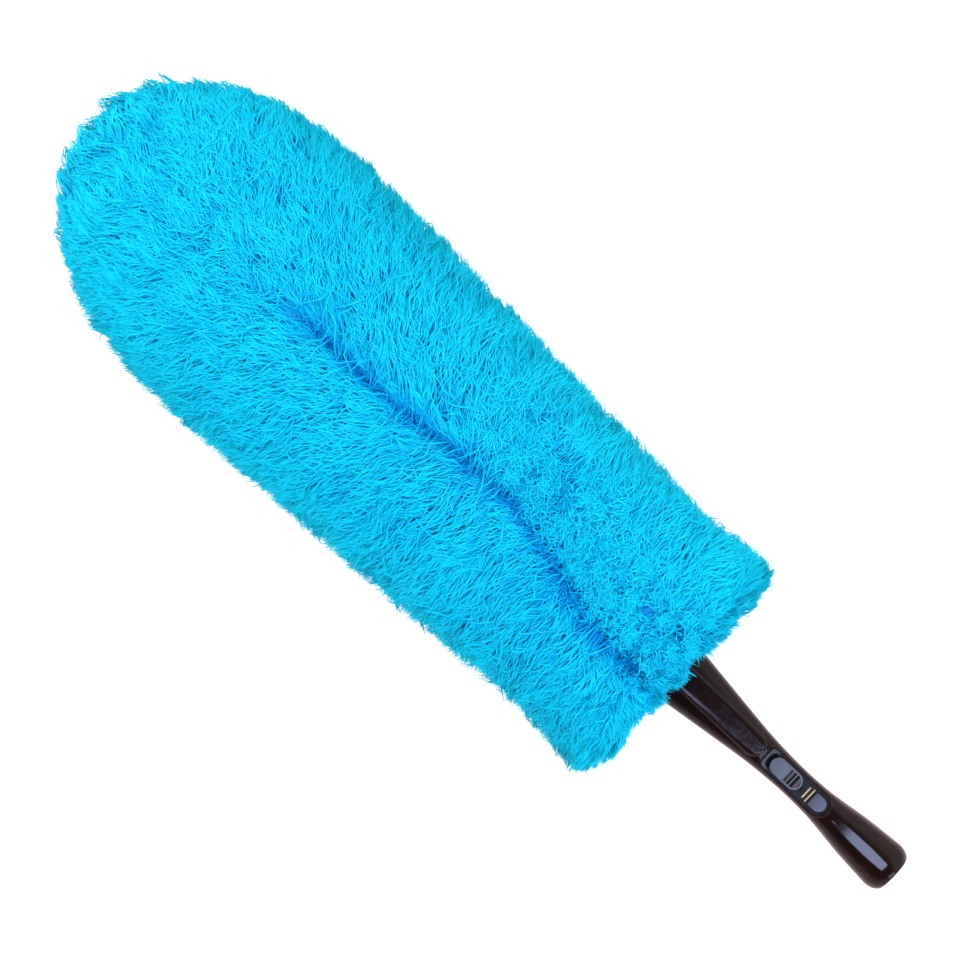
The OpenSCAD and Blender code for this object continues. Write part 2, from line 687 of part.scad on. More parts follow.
// Half width of the pile: its mouth, a slim place, the widest place, then the rounded tip
tip_from = pile_to - pile_tip_len;
tip_power = 1.6;
tip_flat = 8;
pile_tab = [
    [pile_from, pile_mouth_w * 0.36], [pile_from + 3, pile_mouth_w * 0.45],
    [pile_from + 9, pile_mouth_w / 2], [pile_from + 22, pile_mouth_w / 2],
    [pile_from + pile_slim_at, pile_slim_w / 2],
    [pile_from + (pile_slim_at + pile_max_at) / 2, (pile_slim_w + pile_max_w) / 4 + 0.8],
    [pile_from + pile_max_at, pile_max_w / 2], [tip_from, pile_max_w / 2 - 5.5]
];
function pile_half(u) = u < tip_from ? smooth_at(pile_tab, u)
    : max(tip_flat, (pile_max_w / 2 - 5.5)
        * (1 - min(1, (u - tip_from) / pile_tip_len) ^ tip_power) ^ (1 / tip_power));
pile_blunt = 2.2;
// The underside bulges past the plane it lies on and is cut flat there
under_swell = 1.14;
under_full = 1.12;
pile_stations = concat(
    [for (d = [0, 3, 9, 22]) pile_from + d],
    [for (u = [pile_from + 40 : 30 : tip_from - 12]) u],
    [for (t = [0, 0.14, 0.28, 0.42, 0.55, 0.67, 0.78, 0.87, 0.94, 0.98, 1]) tip_from + t * pile_tip_len]
);
// Angles of a ring's points: close together at the parting, far apart below
ring_angles = [90, 87.5, 85, 82, 78, 73, 67, 60, 52, 42, 30, 15, 0, -18, -36, -54, -72, -90];
// The parting: its way along the top, its share of the depth, and how wide its right bank is,
// narrow where a ridge of standing yarn runs beside it
parting_way = [[pile_from, 20], [pile_from + 25, 17], [pile_from + 80, 8], [pile_from + 132, -5],
    [pile_from + 170, -6], [pile_from + 230, 0], [pile_to, 0]];
parting_share = [[pile_from + 4, 0], [pile_from + 25, 0.7], [pile_from + 130, 0.8],
    [pile_from + 150, 1], [pile_from + 265, 1], [pile_from + 320, 0.4], [tip_from, 0.1],
    [pile_to - 20, 0]];
left_bank = 16;
right_bank = [[pile_from + 105, 4], [pile_from + 150, 13]];
function parting(u, y) =
    let (d = y - lookup(u, parting_way), bank = d > 0 ? left_bank : lookup(u, right_bank))
    parting_depth * lookup(u, parting_share) * exp(-abs(d) / bank);
function pile_ring(u, side) =
    let (w = pile_half(u), k = w / (pile_max_w / 2))
    [for (a = ring_angles)
        let (p = oval(a, w, a > 0 ? pile_over * k : pile_under * under_swell * min(1, k * under_full),
                      pile_blunt),
             y = side * max(p[0], seam_half),
             dip = a > 0 ? parting(u, y) * sin(a) : 0)
        [u, y, max(p[1] - dip, -pile_under)]];
seam_half = 0.15;
module pile_half_body(side) {
    rings = [for (u = pile_stations) pile_ring(u, side)];
    difference() {
        loft([for (r = rings) side < 0 ? r : [for (i = [len(r) - 1 : -1 : 0]) r[i]]]);
        sleeve_form(fabric_t + 0.1, pile_from - 2, pocket_to + fabric_t + 0.1);
        translate([neck_down_to, -tape_w / 2 - 0.1, -tape_z - tape_t - 0.1])
            cube([pocket_to - neck_down_to, tape_w + 0.2, 2 * (tape_z + tape_t + 0.1)]);
    }
}
module pile_left() { color("#10b0e8") on_axis() pile_half_body(1); }
module pile_right() { color("#10b0e8") on_axis() pile_half_body(-1); }

front_shell();
rear_shell();
pole_socket();
slide_track();
index_marks();
thumb_slider();
slider_carriage();
carriage_screw();
latch_cradle();
latch_lever();
latch_pin();
latch_spring();
shell_screws();
blade_neck();
neck_dowels();
blade();
steel_strip();
strip_rivets();
tip_cap();
sleeve_backing();
elastic_cuff();
seam_tapes();
pile_left();
pile_right();
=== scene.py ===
# %% [markdown]
# # A hand duster with a blue fibre sleeve
# The object is a car and house duster: a near-black moulded handle with a sliding thumb
# latch, a flexible blade hidden inside, and a washable sleeve covered in microfibre yarn.
# The CAD model carries the mechanism. This script gives every visible piece its real
# surface, and builds the yarn, which no CAD solid can show.
# Lengths are in metres. +X runs from the handle's end to the tip of the pile, +Z is the
# side with the slider, and the floor is z = 0.

# %% The frame
import math

import bmesh
import bpy
import numpy as np
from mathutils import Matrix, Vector
from mathutils.bvhtree import BVHTree
from mathutils.kdtree import KDTree


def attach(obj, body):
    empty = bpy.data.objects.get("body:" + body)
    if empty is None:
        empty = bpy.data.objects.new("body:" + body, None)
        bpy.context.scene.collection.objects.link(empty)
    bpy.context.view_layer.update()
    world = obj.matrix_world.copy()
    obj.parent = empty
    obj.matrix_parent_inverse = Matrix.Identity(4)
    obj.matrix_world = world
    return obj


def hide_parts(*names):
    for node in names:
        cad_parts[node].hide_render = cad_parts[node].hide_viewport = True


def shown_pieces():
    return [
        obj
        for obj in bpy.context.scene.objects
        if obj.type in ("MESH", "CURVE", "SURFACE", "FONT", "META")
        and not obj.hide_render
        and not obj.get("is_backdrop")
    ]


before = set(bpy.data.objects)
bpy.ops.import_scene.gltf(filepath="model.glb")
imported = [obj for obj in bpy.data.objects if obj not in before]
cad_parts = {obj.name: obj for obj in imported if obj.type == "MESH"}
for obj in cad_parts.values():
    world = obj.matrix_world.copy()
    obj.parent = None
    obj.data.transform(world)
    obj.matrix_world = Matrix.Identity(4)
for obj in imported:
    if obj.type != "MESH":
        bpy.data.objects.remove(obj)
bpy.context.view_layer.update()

MM = 0.001
HALF_LEN = 307.0     # mm from the handle's end face to the middle of the object
AXIS_Z = 52.0        # mm from the floor to the handle's axis


def place(points):
    """Points (u, y, z) in mm, u from the handle's end and z from its axis, in the frame."""
    points = np.asarray(points, float)
    return (points + (-HALF_LEN, 0.0, AXIS_Z)) * MM


# %% [markdown]
# ## Camera and image points
# The photograph looks straight down on a duster that lies on a white ground, from far
# enough away that near and far parts hardly differ in scale. A long lens high above gives
# that view. The points below are read off the photograph and settle the camera: the axis
# of the handle runs from the thumb slider to the tip, and its length gives the scale.

# %% Camera and image points
W, H = 960, 960
SIDE = max(W, H)
POINTS = {
    "left": (54, None), "right": (906, None), "top": (None, 69), "bottom": (None, 888),
    "slider": (785, 773), "thumb_pad": (817, 803), "index_marks": (807, 793),
    "handle_nub": (762, 751), "pole_lip": (894, 875),
}
LENS, SENSOR = 200.0, 36.0
MM_PER_PIXEL = 0.5535          # at the height of the handle's axis
CAMERA_TURN = -136.78          # degrees that the picture's up is turned from +Y
AIM = (9.4, -2.4)              # mm, the place in the frame at the middle of the picture
SHIFT_X, SHIFT_Y = 0.0, 0.0
camera_high = W * MM_PER_PIXEL * LENS / SENSOR + AXIS_Z

camera_data = bpy.data.cameras.new("studio_camera")
camera = bpy.data.objects.new("studio_camera", camera_data)
bpy.context.scene.collection.objects.link(camera)
bpy.context.scene.camera = camera
camera_data.lens, camera_data.sensor_width, camera_data.sensor_fit = LENS, SENSOR, "AUTO"
camera_data.shift_x, camera_data.shift_y = SHIFT_X, SHIFT_Y
camera_data.clip_start, camera_data.clip_end = 0.1, 60.0
camera.location = Vector((AIM[0], AIM[1], camera_high)) * MM
camera.rotation_euler = (0, 0, math.radians(CAMERA_TURN))
bpy.context.view_layer.update()
print("camera", round(camera.location.z, 3), "m above the floor")


def ray_through(x, y):
    """Start and direction, in the frame, of the line of sight through a picture point."""
    across = Vector((x - W / 2 + SHIFT_X * SIDE, H / 2 - y + SHIFT_Y * SIDE,
                     -SIDE * LENS / SENSOR))
    turn = camera.matrix_world.to_3x3()
    return camera.matrix_world.translation.copy(), (turn @ across).normalized()


def picture_place(points):
    """Where points of the frame show in the picture."""
    turn = np.array(camera.matrix_world.to_3x3())
    seen = (np.asarray(points, float) - np.array(camera.matrix_world.translation)) @ turn
    scale = SIDE * LENS / SENSOR / -seen[:, 2]
    return np.stack([W / 2 - SHIFT_X * SIDE + seen[:, 0] * scale,
                     H / 2 + SHIFT_Y * SIDE - seen[:, 1] * scale], 1)


def carrier_tree(*objects):
    """A search tree of finished objects, for placing what they carry."""
    corners, faces = [], []
    for o in objects:
        first = len(corners)
        corners += [v.co.copy() for v in o.data.vertices]
        faces += [[first + i for i in p.vertices] for p in o.data.polygons]
    return BVHTree.FromPolygons(corners, faces)


def on_surface(tree, x, y):
    """The place and normal where the line of sight through a picture point meets a piece."""
    start, along = ray_through(x, y)
    hit, normal, _, _ = tree.ray_cast(start, along)
    if hit is None:
        near = start + along * start.z
        hit, normal, _, _ = tree.find_nearest(near)
    return hit, normal


# %% [markdown]
# ## Stage and light
# The ground of the photograph is plain white. A pale floor under soft light comes close,
# and a little light of its own, shown to the camera and in mirrors, takes it the rest of the
# way and leaves the duster's soft shadow. The handle is dark and glossy, so what it mirrors
# matters: a narrow cool soft box hangs over it, under a dark ceiling.

# %% Colours and nodes


def hex_colour(code):
    """An sRGB hex colour as linear red, green, blue and 1."""
    parts = [int(code[i:i + 2], 16) / 255 for i in (0, 2, 4)]
    return tuple(c / 12.92 if c <= 0.04045 else ((c + 0.055) / 1.055) ** 2.4
                 for c in parts) + (1.0,)


def add_node(tree, kind, settings=None, values=None, links=None):
    """Adds one node: its settings, its sockets' values, and the sockets linked into it."""
    node = tree.nodes.new(kind)
    for name, value in (settings or {}).items():
        setattr(node, name, value)
    for name, value in (values or {}).items():
        node.inputs[name].default_value = value
    for name, source in (links or {}).items():
        tree.links.new(source, node.inputs[name])
    return node


def empty_tree(name):
    """A new material and its node tree with nothing in it."""
    material = bpy.data.materials.new(name)
    material.use_nodes = True
    material.node_tree.nodes.clear()
    return material, material.node_tree


# %% Floor, world and lamps


def seen_rays(tree):
    """1 for rays that show the background: from the camera, a mirror or through glass."""
    path = add_node(tree, "ShaderNodeLightPath")
    either = add_node(tree, "ShaderNodeMath", {"operation": "MAXIMUM"}, links={
        0: path.outputs["Is Camera Ray"], 1: path.outputs["Is Glossy Ray"]})
    return add_node(tree, "ShaderNodeMath", {"operation": "MAXIMUM"}, links={
        0: either.outputs[0], 1: path.outputs["Is Transmission Ray"]})


FLOOR_SIZE = 14.0
bpy.ops.object.select_all(action="DESELECT")
bpy.ops.mesh.primitive_plane_add(size=FLOOR_SIZE, location=(0, 0, -0.0004))
floor = bpy.context.object
floor.name = "studio_floor"
bpy.ops.object.transform_apply()
floor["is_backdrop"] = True
paper, tree = empty_tree("white_paper_floor")
diffuse = add_node(tree, "ShaderNodeBsdfDiffuse", values={"Color": hex_colour("E6E6E6")})
lift = add_node(tree, "ShaderNodeEmission", values={"Color": (1, 1, 1, 1)})
FLOOR_LIFT = 0.5               # what shows on top of the lit paper
shown = seen_rays(tree)
lift_seen = add_node(tree, "ShaderNodeMath", {"operation": "MULTIPLY"}, {1: FLOOR_LIFT},
                     {0: shown.outputs[0]})
tree.links.new(lift_seen.outputs[0], lift.inputs["Strength"])
both = add_node(tree, "ShaderNodeAddShader", links={0: diffuse.outputs[0], 1: lift.outputs[0]})
add_node(tree, "ShaderNodeOutputMaterial", links={"Surface": both.outputs[0]})
floor.data.materials.append(paper)

world = bpy.data.worlds.new("studio_world")
bpy.context.scene.world = world
world.use_nodes = True
tree = world.node_tree
tree.nodes.clear()
# Soft light comes from all round, and little from a dark ceiling that leans to the left
SKY, CEILING, CEILING_AXIS = 1.35, 0.11, (0.0, 0.34, 0.94)
up = add_node(tree, "ShaderNodeVectorMath", {"operation": "DOT_PRODUCT"},
              {1: CEILING_AXIS},
              {0: add_node(tree, "ShaderNodeTexCoord").outputs["Generated"]})
dome = add_node(tree, "ShaderNodeMapRange", {"interpolation_type": "SMOOTHSTEP"},
                {"From Min": 0.55, "From Max": 0.92, "To Min": SKY, "To Max": SKY * CEILING},
                {"Value": up.outputs["Value"]})
sky = add_node(tree, "ShaderNodeBackground", values={"Color": hex_colour("FFFFFF")},
               links={"Strength": dome.outputs["Result"]})
add_node(tree, "ShaderNodeOutputWorld", links={"Surface": sky.outputs[0]})


def soft_box(name, watts, size, at, aim, colour="FFFFFF"):
    """A rectangular area lamp that the camera doesn't see. Aimed straight down, and a
    touch towards -Y, it has its two sizes along X and Y."""
    data = bpy.data.lights.new(name, "AREA")
    data.shape, data.size, data.size_y = "RECTANGLE", size[0], size[1]
    data.energy, data.color = watts, hex_colour(colour)[:3]
    lamp = bpy.data.objects.new(name, data)
    bpy.context.scene.collection.objects.link(lamp)
    lamp.location = at
    lamp.rotation_euler = (Vector(aim) - Vector(at)).to_track_quat("-Z", "Y").to_euler()
    lamp.visible_camera = False
    return lamp


soft_box("key_box", 28.0, (1.3, 1.3), (1.2, 0.1, 1.75), (0.05, 0, 0.05))
soft_box("window_box", 6.2, (0.2, 0.5), (-0.449, 0.08, 1.35), (-0.449, 0.07, 0.05),
         colour="C4D2FF")
soft_box("window_gap", 0.14, (0.03, 0.1), (-0.278, 0.15, 1.35), (-0.278, 0.14, 0.05),
         colour="C4D2FF")
soft_box("edge_box", 5.0, (0.5, 0.5), (-1.2, 0.15, 0.9), (-0.2, 0.0, 0.05),
         colour="DCE4FF")
bpy.context.scene.view_settings.view_transform = "Standard"
print("floor, world and four lamps")

# %% [markdown]
# ## Moulded plastics
# The handle is injection-moulded ABS, near black with a brown cast, with a polished mould
# finish: sharp reflections, a faint waviness where the wall shrank, and fine rub marks.
# The small parts are the same plastic, or a plainer one where they are inside.

# %% Plastic materials
ABS_IOR = 1.52
MIRROR_LEVEL = 0.2             # the photographed handle mirrors faintly
RIM_SHEEN = 0.65


def plastic(name, colour, cast, roughness, rub=0.06, waves=0.02, ior=ABS_IOR, rim=None):
    """Moulded plastic: an even colour with a slight cast, rub marks and shrink waves. A rim
    colour is a soft sheen where the surface is seen at a low angle."""
    material, tree = empty_tree(name)
    coords = add_node(tree, "ShaderNodeTexCoord").outputs["Object"]
    # Colour drifts over about 20 mm, rub marks are about 1.5 mm, shrink waves about 9 mm
    drift = add_node(tree, "ShaderNodeTexNoise", values={"Scale": 1 / (20 * MM), "Detail": 2.0},
                     links={"Vector": coords})
    tone = add_node(tree, "ShaderNodeMix", {"data_type": "RGBA"},
                    {"A": hex_colour(colour), "B": hex_colour(cast)},
                    {"Factor": drift.outputs["Fac"]})
    marks = add_node(tree, "ShaderNodeTexNoise", values={"Scale": 1 / (1.5 * MM), "Detail": 4.0},
                     links={"Vector": coords})
    rubbed = add_node(tree, "ShaderNodeMapRange", values={
        "From Min": 0.35, "From Max": 0.75, "To Min": roughness, "To Max": roughness + rub},
        links={"Value": marks.outputs["Fac"]})
    shrink = add_node(tree, "ShaderNodeTexNoise", values={"Scale": 1 / (9 * MM), "Detail": 1.0},
                      links={"Vector": coords})
    bump = add_node(tree, "ShaderNodeBump", values={"Strength": waves, "Distance": 1.0 * MM},
                    links={"Height": shrink.outputs["Fac"]})
    skin = add_node(tree, "ShaderNodeBsdfPrincipled", values={
        "IOR": ior, "Metallic": 0.0, "Specular IOR Level": MIRROR_LEVEL,
        "Sheen Weight": RIM_SHEEN if rim else 0.0, "Sheen Roughness": 0.4,
        "Sheen Tint": hex_colour(rim or "FFFFFF")},
        links={"Base Color": tone.outputs["Result"], "Roughness": rubbed.outputs["Result"],
               "Normal": bump.outputs["Normal"]})
    add_node(tree, "ShaderNodeOutputMaterial", links={"Surface": skin.outputs[0]})
    return material


handle_abs = plastic("black_abs_polished", "0A0406", "170806", 0.07, rub=0.04, rim="BC340A")
slider_abs = plastic("black_abs_slider", "101016", "17161C", 0.10, rub=0.04, waves=0.01)
track_abs = plastic("black_abs_track", "0A080A", "110D0F", 0.42, rub=0.1)
inner_pom = plastic("grey_acetal_moulding", "3A3B40", "44454A", 0.38, rub=0.1, ior=1.48)
blade_nylon = plastic("natural_nylon_blade", "D6D5CC", "E2E0D6", 0.42, rub=0.12, ior=1.53)
cap_rubber = plastic("soft_tpe_cap", "2B282A", "363234", 0.62, rub=0.1, waves=0.05, ior=1.5)
print("six plastics")

# %% [markdown]
# ## Metals and the painted index lines
# The strip in the blade is bare spring steel, drawn and brushed along its length.
# Screws and lever are zinc plated, rivets are brass. The two index lines are a cream
# paint laid in the recess by pad printing, so they are matt and a little uneven.

# %% Metal and paint materials


def metal(name, colour, roughness, grain_mm, stretch=(1.0, 1.0, 1.0)):
    """A metal with a grain of the given spacing, drawn out along an axis by stretch."""
    material, tree = empty_tree(name)
    coords = add_node(tree, "ShaderNodeTexCoord").outputs["Object"]
    drawn = add_node(tree, "ShaderNodeMapping", values={"Scale": stretch},
                     links={"Vector": coords})
    grain = add_node(tree, "ShaderNodeTexNoise", values={
        "Scale": 1 / (grain_mm * MM), "Detail": 5.0}, links={"Vector": drawn.outputs[0]})
    worn = add_node(tree, "ShaderNodeMapRange", values={
        "To Min": roughness - 0.08, "To Max": roughness + 0.1},
        links={"Value": grain.outputs["Fac"]})
    bump = add_node(tree, "ShaderNodeBump", values={"Strength": 0.12, "Distance": 0.05 * MM},
                    links={"Height": grain.outputs["Fac"]})
    skin = add_node(tree, "ShaderNodeBsdfPrincipled", values={
        "Base Color": hex_colour(colour), "Metallic": 1.0},
        links={"Roughness": worn.outputs["Result"], "Normal": bump.outputs["Normal"]})
    add_node(tree, "ShaderNodeOutputMaterial", links={"Surface": skin.outputs[0]})
    return material


spring_steel = metal("spring_steel_brushed", "A9A9A6", 0.30, 0.6, (0.04, 1.0, 1.0))
zinc_plate = metal("zinc_plated_steel", "B9BABB", 0.34, 0.8)
brass_rivet = metal("brass_rivet", "C9A45A", 0.32, 0.8)
mark_paint = plastic("cream_pad_print", "D8C69A", "C2AC7A", 0.55, rub=0.15, ior=1.48)
print("three metals and a paint")

# %% [markdown]
# ## The CAD nodes that stay
# Their shapes are already right, so only their surfaces change.

# %% Surfaces of the CAD nodes
KEPT = {
    "pole_socket": track_abs, "index_marks": mark_paint, "slider_carriage": inner_pom,
    "latch_cradle": inner_pom, "latch_lever": zinc_plate, "latch_pin": zinc_plate,
    "latch_spring": spring_steel, "carriage_screw": zinc_plate, "shell_screws": zinc_plate,
    "blade_neck": track_abs, "neck_dowels": zinc_plate, "blade": blade_nylon,
    "steel_strip": spring_steel, "strip_rivets": brass_rivet, "tip_cap": cap_rubber,
}


def coat(o, material):
    """Gives a piece one material, on every slot that it has."""
    if not o.data.materials:
        o.data.materials.append(material)
    for slot in o.material_slots:
        slot.material = material


for node_name, material in KEPT.items():
    coat(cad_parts[node_name], material)
print(len(KEPT), "CAD nodes have their surfaces")

# %% [markdown]
# ## Tools of the bench
# A few helpers stand for what a hand would do: select one object, open it for editing,
# pick faces by place, raise a flat outline, and apply a modifier.

# %% Bench tools


def select_only(*objects):
    """Everything else is deselected, because an operator acts on all that is selected."""
    bpy.ops.object.select_all(action="DESELECT")
    for o in objects:
        o.select_set(True)
    bpy.context.view_layer.objects.active = objects[0]


def open_mesh(o, test=None):
    """Edit mode with nothing selected, or the faces for which test(centre, normal) holds."""
    select_only(o)
    bpy.ops.object.mode_set(mode="EDIT")
    bpy.ops.mesh.select_mode(type="FACE")
    bpy.ops.mesh.select_all(action="DESELECT")
    if test:
        mesh = bmesh.from_edit_mesh(o.data)
        for face in mesh.faces:
            face.select_set(bool(test(face.calc_center_median(), face.normal)))
        mesh.select_flush_mode()
        bmesh.update_edit_mesh(o.data)


def close_mesh():
    bpy.ops.object.mode_set(mode="OBJECT")


def make_with(o, kind, **settings):
    """Adds a modifier and applies it."""
    select_only(o)
    modifier = o.modifiers.new(kind.lower(), kind)
    for name, value in settings.items():
        setattr(modifier, name, value)
    bpy.ops.object.modifier_apply(modifier=modifier.name)


def round_edges(o, width, segments=3, angle=35):
    make_with(o, "BEVEL", width=width * MM, segments=segments, limit_method="ANGLE",
              angle_limit=math.radians(angle))


def cut_away(o, cutter, operation="DIFFERENCE"):
    make_with(o, "BOOLEAN", object=cutter, operation=operation, solver="EXACT")
    bpy.data.objects.remove(cutter)


def smooth(o, angle=40):
    select_only(o)
    bpy.ops.object.shade_smooth_by_angle(angle=math.radians(angle))


def arc(cu, cy, r, start, end, steps):
    """Points (u, y) of an arc, angles in degrees."""
    return [(cu + r * math.cos(math.radians(start + (end - start) * k / steps)),
             cy + r * math.sin(math.radians(start + (end - start) * k / steps)))
            for k in range(steps + 1)]


def plate(name, outline, low, high):
    """A plate: a filled circle, its corners moved to the outline, then extruded upwards."""
    bpy.ops.object.select_all(action="DESELECT")
    bpy.ops.mesh.primitive_circle_add(vertices=len(outline), fill_type="NGON")
    o = bpy.context.object
    o.name = name
    flat = place([(u, y, low) for u, y in outline])
    o.data.vertices.foreach_set("co", flat.astype(np.float32).ravel())
    o.data.update()
    open_mesh(o, lambda c, n: True)
    bpy.ops.mesh.extrude_region_move(TRANSFORM_OT_translate={"value": (0, 0, (high - low) * MM)})
    bpy.ops.mesh.select_all(action="SELECT")
    bpy.ops.mesh.normals_make_consistent(inside=False)
    close_mesh()
    return o


def wrapped_grid(name, grid, closed_round=True):
    """A flat grid, wrapped: grid is (around, along, 3) points in mm. Its edges meet."""
    around, along = grid.shape[:2]
    bpy.ops.object.select_all(action="DESELECT")
    bpy.ops.mesh.primitive_grid_add(x_subdivisions=along - 1, y_subdivisions=around - 1, size=1)
    o = bpy.context.object
    o.name = name
    o.data.vertices.foreach_set("co", place(grid.reshape(-1, 3)).astype(np.float32).ravel())
    o.data.update()
    open_mesh(o, lambda c, n: True)
    if closed_round:
        bpy.ops.mesh.remove_doubles(threshold=0.002 * MM)
    bpy.ops.mesh.normals_make_consistent(inside=False)
    close_mesh()
    return o


# %% [markdown]
# ## Handle profile
# The handle's outline was read off the photograph: a bulb at the end, a waist where the
# thumb rests, and a flare to the mouth. The same curves as in the CAD source give every
# section, so the smooth shells cover the CAD shells exactly.

# %% Handle profile
WIDTHS = [(9, 14.7), (32, 12.8), (50, 10.4), (60, 9.4), (76, 9.0), (92, 9.6), (108, 11.0),
          (172, 19.2)]
DEPTHS = [(9, 11.4), (46, 10.9), (58, 9.5), (76, 9.0), (108, 9.15), (172, 10.2)]
SQUARE = [(0, 2.0), (20, 2.4), (45, 2.5), (58, 3.0), (172, 3.0)]
END_R, CORNER_LEN = 9.4, 9.0
TONGUE_FROM, TONGUE_HALF, TONGUE_RISE, TONGUE_SOFT = 100.0, 6.7, 0.8, 1.5
WALL = 1.8
MOUTH_U = 172.0


def curve(table, u):
    """A smooth curve through a table of (place, value), at places u."""
    xs, ys = np.array(table, float).T
    slopes = np.empty(len(xs))
    slopes[1:-1] = (ys[2:] - ys[:-2]) / (xs[2:] - xs[:-2])
    slopes[0], slopes[-1] = (ys[1] - ys[0]) / (xs[1] - xs[0]), (ys[-1] - ys[-2]) / (xs[-1] - xs[-2])
    u = np.asarray(u, float)
    i = np.clip(np.searchsorted(xs, u, side="right") - 1, 0, len(xs) - 2)
    d = xs[i + 1] - xs[i]
    t = (u - xs[i]) / d
    return ((2 * t**3 - 3 * t**2 + 1) * ys[i] + (t**3 - 2 * t**2 + t) * d * slopes[i]
            + (3 * t**2 - 2 * t**3) * ys[i + 1] + (t**3 - t**2) * d * slopes[i + 1])


def handle_half(u, table):
    """Half width or half depth of the handle."""
    u = np.asarray(u, float)
    corner = END_R + (table[0][1] - END_R) * np.sqrt(1 - (1 - np.minimum(u, CORNER_LEN)
                                                         / CORNER_LEN) ** 2)
    return np.where(u < CORNER_LEN, corner, curve(table, np.maximum(u, CORNER_LEN)))


def squareness(u):
    return np.interp(u, *np.array(SQUARE, float).T)


def rounded(a, w, h, n):
    """y and z of a rounded section, squarer as n grows, at angle a."""
    r = ((np.abs(np.cos(a)) / w) ** n + (np.abs(np.sin(a)) / h) ** n) ** (-1 / n)
    return r * np.cos(a), r * np.sin(a)


def ease(t):
    t = np.clip(t, 0, 1)
    return t * t * (3 - 2 * t)


def tongue(u, y):
    """How far a point of the front is on the raised tongue, 0 to 1."""
    centre = TONGUE_FROM + TONGUE_HALF
    d = np.where(u < centre, np.hypot(u - centre, y), np.abs(y))
    return ease((TONGUE_HALF - d) / TONGUE_SOFT + 0.5)


# %% [markdown]
# ## Handle shells
# Two long moulded halves, screwed together from the back. The CAD shells have the right
# shape but flat facets, and a polished surface shows every facet. A finely divided grid
# wrapped to the same curves reflects smoothly. Its wall comes from Solidify, and the
# recess for the thumb slider is cut through it.

# %% Handle shells
LIP_R, LIP_BEVEL, LIP_DEEP = 7.9, 0.35, 2.6
ROUND_STEPS = 104


def shell_grid(side):
    """The outer skin of one half, from inside the pole hole round the end to the mouth."""
    lip = [(LIP_DEEP, LIP_R), (LIP_BEVEL, LIP_R), (LIP_BEVEL / 3, LIP_R + LIP_BEVEL / 3),
           (0.0, LIP_R + LIP_BEVEL), (0.0, END_R - 0.25)]
    corner = CORNER_LEN * (1 - np.cos(np.linspace(0.12, math.pi / 2, 14)))
    us = np.concatenate([corner, np.arange(CORNER_LEN + 1, TONGUE_FROM - 2, 1.5),
                         np.arange(TONGUE_FROM - 2, TONGUE_FROM + 9, 0.45),
                         np.linspace(TONGUE_FROM + 10, MOUTH_U, 50)])
    a = np.linspace(0, math.pi, ROUND_STEPS + 1)
    rings = [np.stack([np.full_like(a, u), r * np.cos(a), side * r * np.sin(a)], 1)
             for u, r in lip]
    for u in us:
        y, z = rounded(a, handle_half(u, WIDTHS), handle_half(u, DEPTHS), squareness(u))
        if side > 0:
            z = z + TONGUE_RISE * tongue(u, y)
        rings.append(np.stack([np.full_like(a, u), y, side * z], 1))
    return np.stack(rings, 1)


def handle_shell(name, side):
    """One half of the handle with its wall."""
    o = wrapped_grid(name, shell_grid(side), closed_round=False)
    normal = np.array([p.normal[:] for p in o.data.polygons])
    centre = np.array([p.center[:] for p in o.data.polygons])
    # Judged on the flare, far from the pole hole, where every face should point outwards
    outward = (normal[:, 1:] * (centre[:, 1:] - (0, AXIS_Z * MM)))[centre[:, 0] > -0.2].sum()
    if outward < 0:
        open_mesh(o, lambda c, n: True)
        bpy.ops.mesh.flip_normals()
        close_mesh()
    make_with(o, "SOLIDIFY", thickness=WALL * MM, offset=-1.0, use_even_offset=True)
    return o


def recess_outline(inset=0.0):
    """The recess: round towards the handle's end, small corners towards the pile."""
    half, far, r = 6.9 - inset, 97.8 - inset, 3.0 - inset
    return (arc(57.7, 0, half, 90, 270, 40) + arc(far - r, r - half, r, 270, 360, 10)
            + arc(far - r, half - r, r, 0, 90, 10))


front = handle_shell("handle_front", 1)
cut_away(front, plate("recess_cut", recess_outline(), 3.0, 16.0))
smooth(front, 35)
rear = handle_shell("handle_rear", -1)
SCREW_AT, SCREW_HOLE_R = (113.4, 162.0), 2.65
for u in SCREW_AT:
    hole = plate("screw_hole", arc(u, 0, SCREW_HOLE_R, 0, 360 - 360 / 48, 47), -14.0, -5.0)
    cut_away(rear, hole)
smooth(rear, 35)
for shell, node_name in ((front, "front_shell"), (rear, "rear_shell")):
    coat(shell, handle_abs)
    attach(shell, "handle")
    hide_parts(node_name)
    print(shell.name, len(shell.data.polygons), "faces")

# %% [markdown]
# ## Slider track
# A tray pressed into the recess: a raised rim all round, a D-shaped pad for the heel of
# the thumb, and a ramp at the far end. It is one moulding, so its edges are all slightly
# round, and those round edges are what catches the light in the photograph.

# %% Slider track
FLOOR_Z, FIT = 6.0, 0.1
RIM_Z, RIM_W = 7.55, 0.75
track = plate("slider_tray", recess_outline(FIT), FLOOR_Z - 1.4, RIM_Z)
rim_level = (AXIS_Z + RIM_Z - 0.1) * MM
open_mesh(track, lambda c, n: n.z > 0.9 and c.z > rim_level)
bpy.ops.mesh.inset(thickness=RIM_W * MM)
bpy.ops.mesh.extrude_region_move(
    TRANSFORM_OT_translate={"value": (0, 0, (FLOOR_Z - RIM_Z) * MM)})
close_mesh()
round_edges(track, 0.18)

PAD_FROM, PAD_TO, PAD_HALF, PAD_TOP = 52.9, 62.8, 4.7, 9.0
pad = plate("thumb_pad", arc(PAD_FROM + PAD_HALF, 0, PAD_HALF, 90, 270, 40)
            + [(PAD_TO, -PAD_HALF), (PAD_TO, PAD_HALF)], FLOOR_Z - 0.2, PAD_TOP)
round_edges(pad, 0.5, 5)

